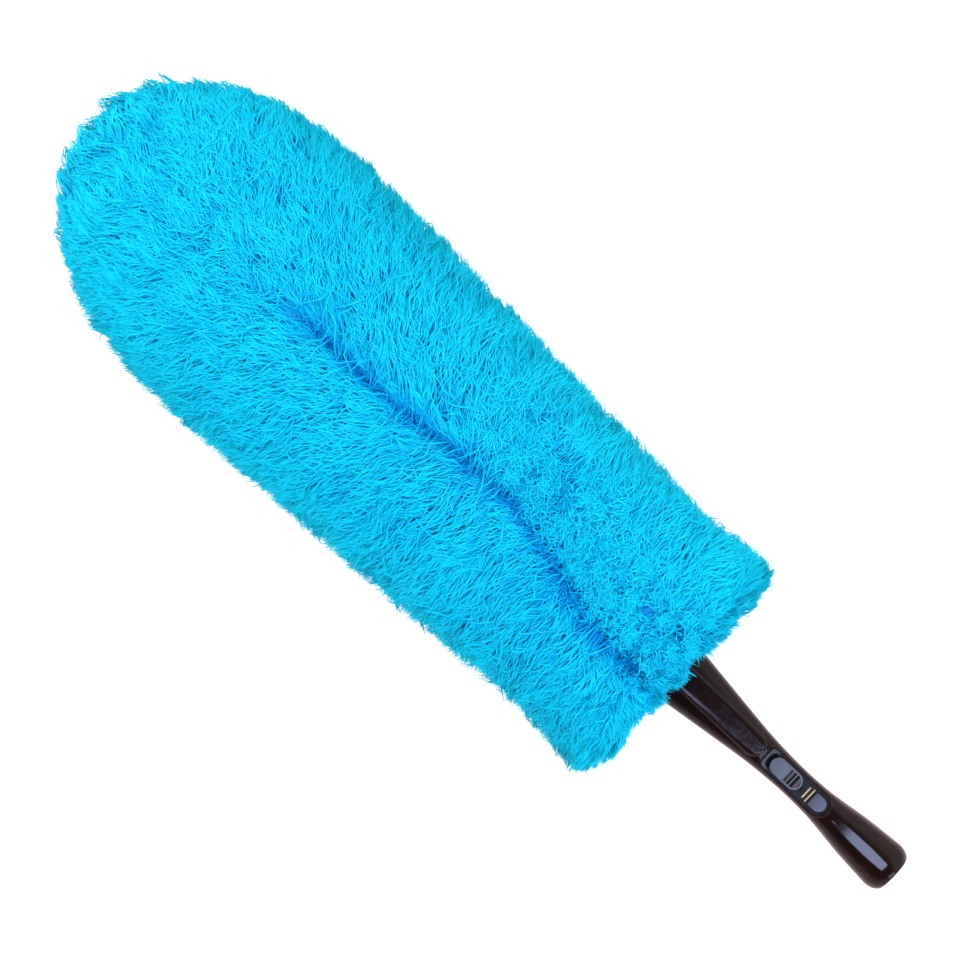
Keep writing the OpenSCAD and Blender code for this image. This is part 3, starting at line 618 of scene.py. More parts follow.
RAMP_FROM, RAMP_TO, RAMP_RISE = 91.6, 97.0, 2.9
ramp = plate("slider_ramp", [p for p in recess_outline(FIT + RIM_W) if p[0] > RAMP_FROM]
             + [(RAMP_FROM, 6.05), (RAMP_FROM, -6.05)], FLOOR_Z - 0.2, FLOOR_Z + 0.1)
open_mesh(ramp, lambda c, n: n.z > 0.9 and c.z > (AXIS_Z + FLOOR_Z) * MM)
mesh = bmesh.from_edit_mesh(ramp.data)
for corner in {v for f in mesh.faces if f.select for v in f.verts}:
    run = (corner.co.x / MM + HALF_LEN - RAMP_FROM) / (RAMP_TO - RAMP_FROM)
    corner.co.z += RAMP_RISE * MM * run ** 1.5
bmesh.update_edit_mesh(ramp.data)
close_mesh()
round_edges(ramp, 0.2)
for piece in (track, pad, ramp):
    smooth(piece)
    make_with(piece, "WEIGHTED_NORMAL", keep_sharp=True)
    coat(piece, track_abs if piece is track else slider_abs)
    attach(piece, "handle")
    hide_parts("slide_track")
    print(piece.name, len(piece.data.polygons), "faces")

# %% [markdown]
# ## Thumb slider
# A flat-topped button with round ends. The half near the handle's end is scooped for the
# thumb, with a thin lip left standing round it. It is cut with a cylinder that is first
# trimmed to the scoop's outline.

# %% Thumb slider
SLIDER_FROM, SLIDER_LEN, SLIDER_W, SLIDER_TOP = 71.5, 21.4, 10.0, 9.4
SCOOP_R, SCOOP_DEEP, SCOOP_EDGE, LIP_W = 7.2, 2.0, 81.7, 0.95


def slider_outline(inset=0.0):
    r = SLIDER_W / 2
    ends = SLIDER_FROM + r, SLIDER_FROM + SLIDER_LEN - r
    return arc(ends[0], 0, r - inset, 90, 270, 32) + arc(ends[1], 0, r - inset, -90, 90, 32)


slider = plate("thumb_button", slider_outline(), FLOOR_Z + 0.25, SLIDER_TOP)
# The flat top falls by one degree towards the handle's end
top_level = (AXIS_Z + SLIDER_TOP - 0.1) * MM
open_mesh(slider, lambda c, n: n.z > 0.9 and c.z > top_level)
bpy.ops.transform.rotate(value=math.radians(1.0), orient_axis="Y",
                         center_override=place([(SLIDER_FROM + SLIDER_LEN, 0, SLIDER_TOP)])[0])
close_mesh()
half = SLIDER_W / 2 - LIP_W
scoop_outline = arc(SLIDER_FROM + SLIDER_W / 2, 0, half, 90, 270, 32) + [
    (SCOOP_EDGE, -half), (SCOOP_EDGE, half)]
scoop = plate("scoop_cut", scoop_outline, FLOOR_Z + 0.8, SLIDER_TOP + 3)
bpy.ops.object.select_all(action="DESELECT")
centre = place([(SLIDER_FROM + 5.2, 0, SLIDER_TOP + SCOOP_R - SCOOP_DEEP)])[0]
bpy.ops.mesh.primitive_cylinder_add(vertices=128, radius=SCOOP_R * MM, depth=20 * MM,
                                    location=centre, rotation=(math.pi / 2, 0, 0))
roller = bpy.context.object
bpy.ops.object.transform_apply()
cut_away(scoop, roller, "INTERSECT")
cut_away(slider, scoop)
round_edges(slider, 0.32, 4, 30)
smooth(slider, 35)
nose = plate("slider_nose", [(69.3, 1.3), (69.3, -1.3), (70.1, -1.3), (70.1, -0.55), (71.9, -0.55),
                             (71.9, 0.55), (70.1, 0.55), (70.1, 1.3)], FLOOR_Z + 0.25, FLOOR_Z + 2.2)
round_edges(nose, 0.15, 2)
smooth(nose)
make_with(slider, "WEIGHTED_NORMAL", keep_sharp=True)
for piece in (slider, nose):
    coat(piece, slider_abs)
    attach(piece, "slider")
    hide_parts("thumb_slider")
    print(piece.name, len(piece.data.polygons), "faces")

# %% [markdown]
# ## Bead and nub
# A fine raised bead runs round the recess, and a small moulded nub stands beyond its far
# end. Both are part of the shell. The bead follows the shell's surface: each of its points
# is dropped onto the finished shell.

# %% Bead and nub
BEAD_OUT, BEAD_R = 0.45, 0.26
NUB_HALF_LEN, NUB_HALF_W = 1.0, 1.15
front_tree = carrier_tree(front)
bead_line = []
for u, y in recess_outline(-BEAD_OUT):
    over = Vector(place([(u, y, 30.0)])[0])
    hit, normal, _, _ = front_tree.ray_cast(over, Vector((0, 0, -1)))
    bead_line.append(hit if hit else front_tree.find_nearest(over)[0])
bead_curve = bpy.data.curves.new("recess_bead", "CURVE")
bead_curve.dimensions, bead_curve.bevel_resolution = "3D", 3
bead_curve.bevel_depth = BEAD_R * MM
spline = bead_curve.splines.new("POLY")
spline.points.add(len(bead_line) - 1)
for point, at in zip(spline.points, bead_line):
    point.co = (*at, 1)
spline.use_cyclic_u = True
bead = bpy.data.objects.new("recess_bead", bead_curve)
bpy.context.scene.collection.objects.link(bead)
select_only(bead)
bpy.ops.object.convert(target="MESH")
smooth(bead, 80)

nub_at, _ = on_surface(front_tree, *POINTS["handle_nub"])
nub_u = nub_at.x / MM + HALF_LEN
nub_z = nub_at.z / MM - AXIS_Z
nub = plate("handle_nub", [(nub_u - NUB_HALF_LEN, NUB_HALF_W), (nub_u - NUB_HALF_LEN, -NUB_HALF_W),
                           (nub_u + NUB_HALF_LEN, -NUB_HALF_W), (nub_u + NUB_HALF_LEN, NUB_HALF_W)],
            nub_z - 0.6, nub_z + 0.5)
round_edges(nub, 0.3, 3)
smooth(nub)
for piece in (bead, nub):
    coat(piece, handle_abs)
    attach(piece, "handle")
    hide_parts("front_shell")
    print(piece.name, len(piece.data.polygons), "faces")

# %% [markdown]
# ## Sleeve fabric
# Under the yarn is a knitted backing, sewn into a long flat pocket for the blade, with a
# ribbed elastic cuff that grips the handle's mouth and a tape over each long seam. A grid
# wrapped to the pocket's sections keeps its own flat map, so the knit follows the cloth.

# %% Cloth materials


def cloth(name, colour, deep, across_mm, along_mm, size_mm, roughness=0.85, ribs=False):
    """A knit or tape: rows across_mm and along_mm apart on a piece of size_mm."""
    material, tree = empty_tree(name)
    flat = add_node(tree, "ShaderNodeUVMap", {"uv_map": "UVMap"})
    turns = (size_mm[0] / along_mm, size_mm[1] / across_mm, 1.0)
    scaled = add_node(tree, "ShaderNodeMapping", values={"Scale": turns},
                      links={"Vector": flat.outputs[0]})
    loops = add_node(tree, "ShaderNodeTexBrick", {"offset": 0.0 if ribs else 0.5}, values={
        "Scale": 1.0, "Mortar Size": 0.12, "Mortar Smooth": 1.0, "Brick Width": 1.0,
        "Row Height": 1.0, "Color1": hex_colour(colour), "Color2": hex_colour(colour),
        "Mortar": hex_colour(deep)}, links={"Vector": scaled.outputs[0]})
    bump = add_node(tree, "ShaderNodeBump", {"invert": True},
                    {"Strength": 0.6, "Distance": 0.25 * MM}, {"Height": loops.outputs["Fac"]})
    skin = add_node(tree, "ShaderNodeBsdfPrincipled", values={
        "Roughness": roughness, "Sheen Weight": 0.3, "Sheen Roughness": 0.5, "IOR": 1.45},
        links={"Base Color": loops.outputs["Color"], "Normal": bump.outputs["Normal"]})
    add_node(tree, "ShaderNodeOutputMaterial", links={"Surface": skin.outputs[0]})
    return material


# %% Backing, cuff and tapes
SLEEVE_HALF_W, POCKET_HALF_H, MOUTH_HALF_H, CLOTH_T = 21.0, 4.2, 12.8, 1.0


def pocket_half_h(u):
    """Half height of the pocket inside: tall over the handle, then flat along the blade."""
    return MOUTH_HALF_H + (POCKET_HALF_H - MOUTH_HALF_H) * ease((u - 175.0) / 12.0)


def tube_grid(stations, around=73):
    """Rings of (u, half width, half height) as a wrapped grid's points."""
    a = np.linspace(0, 2 * math.pi, around)
    rings = []
    for u, w, h in stations:
        y, z = rounded(a, w, max(h, 1e-4), 2.8)
        y[-1], z[-1] = y[0], z[0]
        rings.append(np.stack([np.full_like(a, u), y, z], 1))
    return np.stack(rings, 1)


pocket = [(u, SLEEVE_HALF_W + CLOTH_T, pocket_half_h(u) + CLOTH_T)
          for u in np.concatenate([np.arange(161.5, 190, 1.5), np.arange(192, 560, 4.0)])]
pocket += [(562.0, 21.6, 4.9), (565.0, 20.6, 3.4), (566.4, 19.6, 1.4), (566.8, 19.0, 0.0)]
backing = wrapped_grid("sleeve_backing_knit", tube_grid(pocket))
make_with(backing, "SOLIDIFY", thickness=0.8 * MM, offset=-1.0)
coat(backing, cloth("polyester_backing_knit", "1479B4", "0A5688", 1.2, 1.6, (405, 88)))

cuff_rings = []
around = np.linspace(0, 2 * math.pi, 289)
for u in np.linspace(162.2, 171.2, 13):
    rib = 0.22 * np.cos(72 * around)
    roll = 0.5 * math.sin(math.pi * (u - 162.2) / 9.0)
    y, z = rounded(around, 20.3 + roll, 12.1 + roll, 2.8)
    reach = 1 + rib / np.hypot(y, z)
    cuff_rings.append(np.stack([np.full_like(around, u), y * reach, z * reach], 1))
cuff_grid = np.stack(cuff_rings, 1)
cuff_grid[-1] = cuff_grid[0]
cuff = wrapped_grid("elastic_cuff_rib", cuff_grid)
make_with(cuff, "SOLIDIFY", thickness=0.9 * MM, offset=-1.0)
coat(cuff, cloth("elastic_rib_knit", "0F679C", "083F66", 0.7, 1.1, (9, 100), ribs=True))

tapes = []
for name, side in (("seam_tape_top", 1), ("seam_tape_under", -1)):
    us = np.linspace(189, 564, 120)
    ys = np.linspace(-3, 3, 7)
    grid = np.stack([np.stack([us, np.full_like(us, y),
                               np.full_like(us, side * (POCKET_HALF_H + CLOTH_T + 0.45))
                               + 0.05 * np.sin(us / 3 + y)], 1) for y in ys])
    tape = wrapped_grid(name, grid, closed_round=False)
    make_with(tape, "SOLIDIFY", thickness=0.5 * MM, offset=0.0)
    tapes.append(tape)
tape_cloth = cloth("woven_seam_tape", "106A9E", "0A4C78", 0.8, 0.8, (375, 6))
for piece, node_name, slot_name in (
        (backing, "sleeve_backing", "backing_fabric"), (cuff, "elastic_cuff", "elastic"),
        (tapes[0], "seam_tapes", "backing_fabric"), (tapes[1], "seam_tapes", "backing_fabric")):
    if piece in tapes:
        coat(piece, tape_cloth)
    smooth(piece, 60)
    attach(piece, "sleeve")
    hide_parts(node_name)
    print(piece.name, len(piece.data.polygons), "faces")

# %% [markdown]
# ## The pile's form
# The yarn's tips make a long soft body, wider towards a blunt round tip, flatter below
# where it lies. The same outline as in the CAD source says where the tips are.

# %% Pile form
PILE_FROM, PILE_TO, TIP_FROM = 160.0, 614.0, 530.0
PILE_WIDTHS = [(160, 58.3), (163, 72.9), (169, 81), (182, 81), (212, 78.5), (350, 85.55),
               (488, 91), (530, 85.5)]
WIDEST, OVER, UNDER, SWELL = 91.0, 58.0, 52.0, 59.3
TIP_POWER, TIP_FLAT, PILE_BLUNT = 1.6, 8.0, 2.2


def pile_half(u):
    t = np.clip((u - TIP_FROM) / (PILE_TO - TIP_FROM), 0, 1)
    tip = 85.5 * (1 - t ** TIP_POWER) ** (1 / TIP_POWER)
    return np.where(u < TIP_FROM, curve(PILE_WIDTHS, np.minimum(u, TIP_FROM)),
                    np.maximum(TIP_FLAT, tip))


def pile_surface(s, a):
    """A point of the pile's form. s runs 0 to 1 over the mouth face, on to 2 over the
    length and to 3 over the end of the tip; a is the angle round, 0 at +Y."""
    face = np.clip(s, 0, 1)
    share = np.where(s < 1, 0.34 + 0.66 * face, np.clip(3 - s, 0, 1))
    share = np.where((s >= 1) & (s <= 2), 1.0, share)
    u = PILE_FROM + (PILE_TO - PILE_FROM) * np.clip(s - 1, 0, 1) + 5 * (1 - face)
    w = pile_half(PILE_FROM + (PILE_TO - PILE_FROM) * np.clip(s - 1, 0, 1))
    k = w / WIDEST
    h = np.where(np.sin(a) >= 0, OVER * k, SWELL * np.minimum(1, 1.12 * k))
    y, z = rounded(a, w, h, PILE_BLUNT)
    return np.stack([u, y * share, np.maximum(z, -UNDER) * share], -1)


# %% [markdown]
# ## Undercoat
# Between the tips one never sees the backing, but yarn deep in the pile. A lumpy closed body
# stands for it, hollow where the pocket is, and the free strands grow out of it. Its dark blue
# is painted shade.

# %% Undercoat and fibre materials


def waves(rng, count, length_mm):
    """A smooth random field over points in mm, from count plane waves."""
    ways = rng.normal(size=(count, 3))
    ways *= (2 * math.pi / length_mm) * rng.uniform(0.6, 1.5, (count, 1)) / np.linalg.norm(
        ways, axis=1, keepdims=True)
    phase = rng.uniform(0, 2 * math.pi, count)
    return lambda p: np.sin(p @ ways.T + phase).sum(-1) * math.sqrt(2 / count)


rng = np.random.default_rng(20)
UNDER_SHARE, UNDER_FROM, UNDER_TO = 0.75, 178.0, 598.0
UNDER_PARTING = [(185, 17), (240, 8), (292, -5), (330, -6), (390, 0)]
UNDER_DIP, UNDER_DIP_HALF, UNDER_DIP_TO = 12.0, 9.0, 470.0
lumps = waves(rng, 14, 9.0)
a = np.linspace(0, 2 * math.pi, 145)
rings = []
for u in (567.6, 567.2, 562, 540, 500, 440, 380, 320, 260, 210, 200, 194, 188, 182, 176):
    closing = 0.0 if u == 567.6 else 1.0
    y, z = rounded(a, (SLEEVE_HALF_W + CLOTH_T + 0.3) * closing + 1e-6,
                   (pocket_half_h(u) + CLOTH_T + 1.2) * closing + 1e-6, 2.8)
    rings.append(np.stack([np.full_like(a, u), y, z], 1))
for s in np.concatenate([np.linspace(0.55, 1.0, 5), 1 + np.linspace(0.004, 0.8, 110),
                         1 + np.linspace(0.805, 1.0, 40), np.linspace(2.3, 3.0, 4)]):
    ring = pile_surface(np.full_like(a, s), a)
    ring[:, 1:] *= UNDER_SHARE
    ring[:, 0] = UNDER_FROM + (ring[:, 0] - PILE_FROM) * (UNDER_TO - UNDER_FROM) / (
        PILE_TO - PILE_FROM)
    if 0.999 < s < 2.9:
        ring[:, 1:] += ring[:, 1:] / np.linalg.norm(ring[:, 1:], axis=1)[:, None].clip(1) * (
            1.6 * lumps(ring))[:, None]
    apart = ring[:, 1] - np.interp(ring[:, 0], *np.array(UNDER_PARTING, float).T)
    ring[:, 2] -= UNDER_DIP * np.exp(-(apart / UNDER_DIP_HALF) ** 2) * (ring[:, 2] > 20) * ease(
        (UNDER_DIP_TO - ring[:, 0]) / 60)
    ring[-1] = ring[0]
    rings.append(ring)
undercoat = wrapped_grid("pile_undercoat", np.stack(rings, 1))
smooth(undercoat, 180)


def fibre(name, root, deep, mid, pale):
    """Dyed polyester yarn. Its map's u is the strand's tone with painted shade, and v runs root to
    tip.
    """
    material, tree = empty_tree(name)
    at = add_node(tree, "ShaderNodeSeparateXYZ", links={
        "Vector": add_node(tree, "ShaderNodeUVMap", {"uv_map": "OFBake"}).outputs[0]})
    ramp = add_node(tree, "ShaderNodeValToRGB", links={"Fac": at.outputs["X"]})
    ramp.color_ramp.elements[0].position, ramp.color_ramp.elements[0].color = 0.1, hex_colour(deep)
    ramp.color_ramp.elements[1].position, ramp.color_ramp.elements[1].color = 0.9, hex_colour(pale)
    ramp.color_ramp.elements.new(0.5).color = hex_colour(mid)
    # Towards the root the colour turns a darker blue: partly the dye, partly painted shade deep in
    # the pile
    reach = add_node(tree, "ShaderNodeMapRange", {"interpolation_type": "SMOOTHSTEP"},
                     {"From Min": 0.2, "From Max": 0.92}, {"Value": at.outputs["Y"]})
    dye_and_painted_shade = add_node(tree, "ShaderNodeMix", {"data_type": "RGBA"}, {"A": hex_colour(root)},
                   {"Factor": reach.outputs["Result"], "B": ramp.outputs["Color"]})
    skin = add_node(tree, "ShaderNodeBsdfPrincipled", values={
        "Roughness": 0.8, "IOR": 1.45, "Specular IOR Level": 0.1},
        links={"Base Color": dye_and_painted_shade.outputs["Result"]})
    add_node(tree, "ShaderNodeOutputMaterial", links={"Surface": skin.outputs[0]})
    return material


yarn = fibre("dyed_microfibre_yarn_painted_shade", "00A2E2", "0098E0", "04CCF0", "0CD6F2")
# The undercoat's two dark blues, mixed at random, are painted shade of the yarn deep in the pile
matt, tree = empty_tree("yarn_undercoat_painted_shade")
coords = add_node(tree, "ShaderNodeTexCoord").outputs["Object"]
tufts = add_node(tree, "ShaderNodeTexNoise", values={"Scale": 1 / (2.0 * MM), "Detail": 4.0},
                 links={"Vector": coords})
tone = add_node(tree, "ShaderNodeMix", {"data_type": "RGBA"},
                {"A": hex_colour("0074C4"), "B": hex_colour("0098E4")},
                {"Factor": tufts.outputs["Fac"]})
bump = add_node(tree, "ShaderNodeBump", values={"Strength": 1.0, "Distance": 1.5 * MM},
                links={"Height": tufts.outputs["Fac"]})
skin = add_node(tree, "ShaderNodeBsdfPrincipled", values={"Roughness": 0.9},
                links={"Base Color": tone.outputs["Result"], "Normal": bump.outputs["Normal"]})
add_node(tree, "ShaderNodeOutputMaterial", links={"Surface": skin.outputs[0]})
coat(undercoat, matt)
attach(undercoat, "sleeve")
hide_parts("pile_left", "pile_right")
print("undercoat", len(undercoat.data.polygons), "faces")

# %% [markdown]
# ## One strand
# A strand is a thin pointed prism with three sides and three lengths: few enough faces to
# repeat tens of thousands of times. It is modelled once, from a triangle that is extruded
# upwards and closed to a point.

# %% One strand
LENGTHS = 3
bpy.ops.object.select_all(action="DESELECT")
bpy.ops.mesh.primitive_circle_add(vertices=3, radius=1.0, fill_type="NGON")
strand = bpy.context.object
strand.name = "one_strand"
open_mesh(strand, lambda c, n: True)
for k in range(LENGTHS):
    bpy.ops.mesh.extrude_region_move(TRANSFORM_OT_translate={"value": (0, 0, 1)})
bpy.ops.mesh.merge(type="CENTER")
bpy.ops.mesh.select_all(action="SELECT")
bpy.ops.mesh.normals_make_consistent(inside=False)
close_mesh()
corners = np.array([v.co[:] for v in strand.data.vertices])
LEVEL = np.rint(corners[:, 2]).astype(int)
ROUND = np.where(LEVEL < LENGTHS, np.arctan2(corners[:, 1], corners[:, 0]), 0.0)
STRAND_FACES = [list(p.vertices) for p in strand.data.polygons]
bpy.data.objects.remove(strand)
print("one strand:", len(corners), "corners,", len(STRAND_FACES), "faces")

# %% [markdown]
# ## How the yarn lies
# The pile was combed by use. On the top it parts along the middle and lies outwards, back
# towards the handle near the mouth and forwards round the tip. A patch beside the parting
# near the mouth stands straight up. Strands start steep and bend over, and neighbours
# cling together in wisps. Each rule below is one of those things.

# %% How the yarn lies
FOUNTAIN = [(160, 190), (200, 203), (260, 252), (340, 318), (430, 372), (480, 400), (560, 420),
            (614, 430)]        # for each place, the place that its strands lean away from
PARTING = [(160, 20), (185, 17), (240, 8), (292, -5), (330, -6), (390, 0), (614, 0)]
PARTING_DEPTH, LEFT_BANK = 13.0, 16.0
PARTING_SHARE = [(164, 0), (185, 0.5), (215, 0.8), (290, 0.8), (310, 1), (425, 1), (480, 0.4),
                 (530, 0.1), (594, 0)]
RIGHT_BANK = [(265, 4), (310, 10)]
STRAND_LEN, STRAND_R = 31.0, 0.38
MEET = -0.42                   # sine of the angle where the top's and the bottom's yarn meet


def table_at(table, u):
    return np.interp(u, *np.array(table, float).T)


def parting(u, apart):
    """How far the parting presses the top down, as in the CAD source."""
    bank = np.where(apart > 0, LEFT_BANK, table_at(RIGHT_BANK, u))
    return PARTING_DEPTH * table_at(PARTING_SHARE, u) * np.exp(-np.abs(apart) / bank)


def zones(p, a):
    """How much each place is on the standing ridge, in the valley or in the sharp parting."""
    u, apart, top = p[..., 0], p[..., 1] - table_at(PARTING, p[..., 0]), np.sin(a) > 0
    near_mouth = 1 - ease((u - 290) / 60)
    ridge = near_mouth * ease((u - 150) / 14) * ease((apart + 62) / 22) * (apart < 0) * top
    valley = np.exp(-(apart / 6.0) ** 2) * ease((u - 275) / 30) * (1 - ease((u - 425) / 50)) * top
    sharp = np.exp(-((apart - 1) / 3.0) ** 2) * (1 - ease((u - 280) / 30)) * top
    return ridge, valley, sharp


def scatter(count, rng, favour):
    """Places (s, angle) spread over the pile's surface by area times favour."""
    s = np.concatenate([np.linspace(0.0, 1.0, 25), np.linspace(1.0, 2.0, 500)[1:],
                        np.linspace(2.0, 3.0, 7)[1:]])
    a = np.linspace(0, 2 * math.pi, 241)
    p = pile_surface(*np.meshgrid(s, a, indexing="ij"))
    d1, d2 = p[1:, :-1] - p[:-1, :-1], p[:-1, 1:] - p[:-1, :-1]
    area = np.linalg.norm(np.cross(d1, d2), axis=-1)
    total = np.cumsum((area * favour(p[:-1, :-1], a[None, :-1])).ravel())
    cell = np.searchsorted(total, rng.uniform(0, total[-1], count))
    i, j = np.unravel_index(cell, area.shape)
    return (s[i] + (s[i + 1] - s[i]) * rng.uniform(0, 1, count),
            a[j] + (a[j + 1] - a[j]) * rng.uniform(0, 1, count))


def unit(v):
    return v / np.maximum(np.linalg.norm(v, axis=-1, keepdims=True), 1e-9)


def favour_cover(p, a):
    """Strands of the cover: fewer below, more where they stand up and hide less."""
    ridge, valley, sharp = zones(p, a)
    return np.where(np.sin(a) > MEET, 1.0, 0.45) * (1 + 1.5 * ridge + 0.5 * valley
                                                    + 0.8 * ease((205 - p[..., 0]) / 25))


def favour_gaps(p, a):
    """Strands that fill the partings, the ridge and the mouth's face from below."""
    ridge, valley, sharp = zones(p, a)
    return 0.005 + 8.0 * valley + 6.0 * sharp + 0.4 * ridge + 0.6 * (p[..., 0] < 168)


# name: (how many, where, depth range in mm, share of the lean, spread of heading in radians)
KINDS = {
    "cover": (91500, favour_cover, (0.0, 5.0), 1.0, 0.24),
    "filling": (14000, favour_gaps, (2.0, 9.0), 0.3, 0.6),
    "stray": (3000, favour_cover, (0.0, 2.5), 1.0, 0.9),
}
rng = np.random.default_rng(41)
parts = {"s": [], "a": [], "deep": [], "lean_share": [], "spread": []}
for name, (count, favour, depths, lean_share, spread) in KINDS.items():
    s_new, a_new = scatter(count, rng, favour)
    parts["s"].append(s_new)
    parts["a"].append(a_new)
    parts["deep"].append(depths[0] + (depths[1] - depths[0]) * rng.uniform(0, 1, count) ** 1.8)
    parts["lean_share"].append(np.full(count, lean_share))
    parts["spread"].append(rng.normal(0, spread, count))
s, a, deep, lean_share, spread = (np.concatenate(parts[k]) for k in parts)
STRANDS = len(s)
kind = np.repeat(list(KINDS), [v[0] for v in KINDS.values()])
stray = kind == "stray"

# %% Lean, depth and wisps
tip = pile_surface(s, a)
along = unit(pile_surface(s + 1e-3, a) - pile_surface(s - 1e-3, a))
round_ = unit(pile_surface(s, a + 1e-3) - pile_surface(s, a - 1e-3))
out = unit(np.cross(round_, along))
out *= np.sign((out * tip)[:, 1:].sum(1) + 1e-9)[:, None]
out[s < 1] = unit(np.array([-1.0, 0, 0]) + 0.3 * unit(tip[s < 1] * (0, 1, 1)))
out[s > 2] = (1.0, 0, 0)
top = np.sin(a) > 0
ridge, valley, sharp = zones(tip, a)
apart = tip[:, 1] - table_at(PARTING, tip[:, 0])
# Strands head away from the fountain, and the heading wanders over 34 and 11 mm
heading = np.arctan2(apart, tip[:, 0] - table_at(FOUNTAIN, tip[:, 0]))
heading += waves(rng, 12, 34.0)(tip) * 0.22 + waves(rng, 12, 11.0)(tip) * 0.2
heading += spread * (1 + 4.0 * ridge)
plan = np.stack([np.cos(heading), np.sin(heading)], 1)
# The lean lies in the surface: down the sides above the meeting line, and up below it
fall = np.where(np.sin(a) < MEET, 1.0, -1.0) * np.abs(plan[:, 1])
side = np.stack([plan[:, 0], plan[:, 1], fall], 1)
lean = unit(side - (side * out).sum(1)[:, None] * out)
# How far each strand leans: less at the meeting line, on the ridge, on the mouth's face,
# beside the parting, in the middle of the fountain and over the mouth
meet = np.minimum(1, np.abs(np.sin(a) - MEET) / 0.5)
amount = (0.25 + 0.75 * meet) * (1 - 0.5 * ridge) * np.where(s < 1, 0.7, 1.0) * lean_share
amount *= rng.uniform(0.7, 1.15, STRANDS)
amount *= 1 - 0.6 * np.exp(-(apart / 5) ** 2) * (1 - ease((tip[:, 0] - 430) / 50)) * top
fountain = np.hypot(apart, tip[:, 0] - table_at(FOUNTAIN, tip[:, 0]))
amount *= 1 - 0.5 * np.exp(-(fountain / 16) ** 2) * top
amount *= 1 - 0.6 * ease((76 - np.abs(tip[:, 1])) / 50) * ease((222 - tip[:, 0]) / 60) * top

# How deep each tip is: swells of 40 mm, the parting, and ragged tufts at both ends
length = STRAND_LEN * rng.uniform(0.75, 1.15, STRANDS)
swell = waves(rng, 12, 40.0)(tip)
deep = deep + np.maximum(0, 0.6 + 0.7 * swell) * ~stray
deep += parting(tip[:, 0], apart) * top + 3.0 * valley
tufts = waves(rng, 12, 9.0)(tip)
ragged = ease((tip[:, 0] - 545) / 40) + 1.6 * ease((174 - tip[:, 0]) / 8)
deep -= ragged * 2.0 * np.maximum(0, tufts - 0.2)
# The used end flares a little on its right-hand side
flare = np.exp(-((tip[:, 0] - 600) / 14) ** 2) * ease(-tip[:, 1] / 25)
deep -= flare * 2.0
WISP, WISP_NEAR = 18, 8.0
lead = (kind == "cover") / (1 + 8 * ridge)
seeds = rng.choice(STRANDS, STRANDS // WISP, replace=False, p=lead / lead.sum())


def nearest_seed(points):
    """For each point, the strand that leads the wisp nearest to it."""
    finder = KDTree(len(seeds))
    for k, i in enumerate(seeds):
        finder.insert(points[i], k)
    finder.balance()
    return np.array([seeds[finder.find(p)[1]] for p in points])


# Some wisps are low, and at the ends some stand out
own = nearest_seed(tip)
wisp_low = rng.uniform(0, 1, STRANDS)[own] ** 1.5 * ~stray
deep += (4.0 + 5.0 * ridge) * wisp_low + 2.0 * stray * (flare + ragged)
wisp_out = np.maximum(0, rng.normal(0, 1, STRANDS) - 0.5)[own] * ~stray
deep -= (3.0 * ragged + 4.0 * flare) * wisp_out
deep = np.maximum(deep, -2.5 - 4.5 * flare - 0.5 * ragged)
tip = tip - out * deep[:, None]

# The root is back along the lean and below the tip, and the bend makes a strand start steep
reach, rise = 0.8 * amount, 0.46 + 0.5 * (1 - np.minimum(1, amount))
root = tip - lean * (length * reach)[:, None] - out * (length * rise)[:, None]
# No root starts on the far side of the parting
crossed = top & (np.sign(root[:, 1] - table_at(PARTING, tip[:, 0])) != np.sign(apart))
crossed &= (ridge < 0.3) & ~stray & (tip[:, 0] < 470)
root[crossed, 1] = (table_at(PARTING, tip[:, 0])
                    + np.sign(apart) * rng.uniform(0, 3, STRANDS))[crossed]
# Every root is inside the undercoat
root[:, 0] = np.clip(root[:, 0], PILE_FROM + 12, PILE_TO - 25)
root_w = pile_half(root[:, 0]) * UNDER_SHARE
root_h = np.where(root[:, 2] > 0, OVER, SWELL) * root_w / WIDEST
outside = ((np.abs(root[:, 1]) / root_w) ** PILE_BLUNT
           + (np.abs(root[:, 2]) / root_h) ** PILE_BLUNT) ** (1 / PILE_BLUNT)
root[:, 1:] /= np.maximum(1, outside)[:, None]
bend = root + out * (length * rise * 0.85)[:, None] + lean * (length * 0.25 * amount)[:, None]

# Wisps: the tips of neighbours pull together
gap = tip[own] - tip
clinging = np.clip(0.75 + 0.3 * waves(rng, 12, 30.0)(tip) + 0.3 * ridge + ragged + flare,
                   0.3, 1.0)
pull = rng.uniform(0.3, 0.95, STRANDS) * clinging * (np.linalg.norm(gap, axis=1) < WISP_NEAR)
pull *= ~stray
tip = tip + gap * pull[:, None]
bend = bend + gap * pull[:, None] * 0.45
print("combed", STRANDS, "strands in", len(seeds), "wisps")

# %% Strand curves
# Each strand is a bent line with a wave, and some end in a hook
t = np.array([0.0, 0.42, 0.75, 1.0])
curl = rng.uniform(0, 1, STRANDS) < 0.25 + 0.3 * ridge + 0.3 * stray
wave_a, wave_b = 0.6 + rng.uniform(0.3, 2.0, (2, STRANDS)) ** 1.3
phase_a, phase_b = rng.uniform(0, 2 * math.pi, (2, STRANDS))
turns = rng.uniform(1.0, 2.2, STRANDS)
sideways = unit(np.cross(out, lean))
path = []
for step in t:
    p = root * (1 - step) ** 2 + bend * 2 * step * (1 - step) + tip * step ** 2
    p = p + sideways * (wave_a * np.sin(2 * math.pi * turns * step + phase_a)
                        * step)[:, None]
    p = p + out * (0.6 * wave_b * np.sin(2 * math.pi * turns * step + phase_b) * step)[:, None]
    hook = np.where(curl, (2.2 + 2.5 * ridge) * max(0.0, step - 0.6) / 0.4, 0.0)
    p = p + (sideways * np.sin(phase_a)[:, None] + lean * np.cos(phase_a)[:, None]) * hook[:, None]
    path.append(p)
path = np.stack(path, 1)
path[..., 2] = np.maximum(path[..., 2], -AXIS_Z + 0.6)
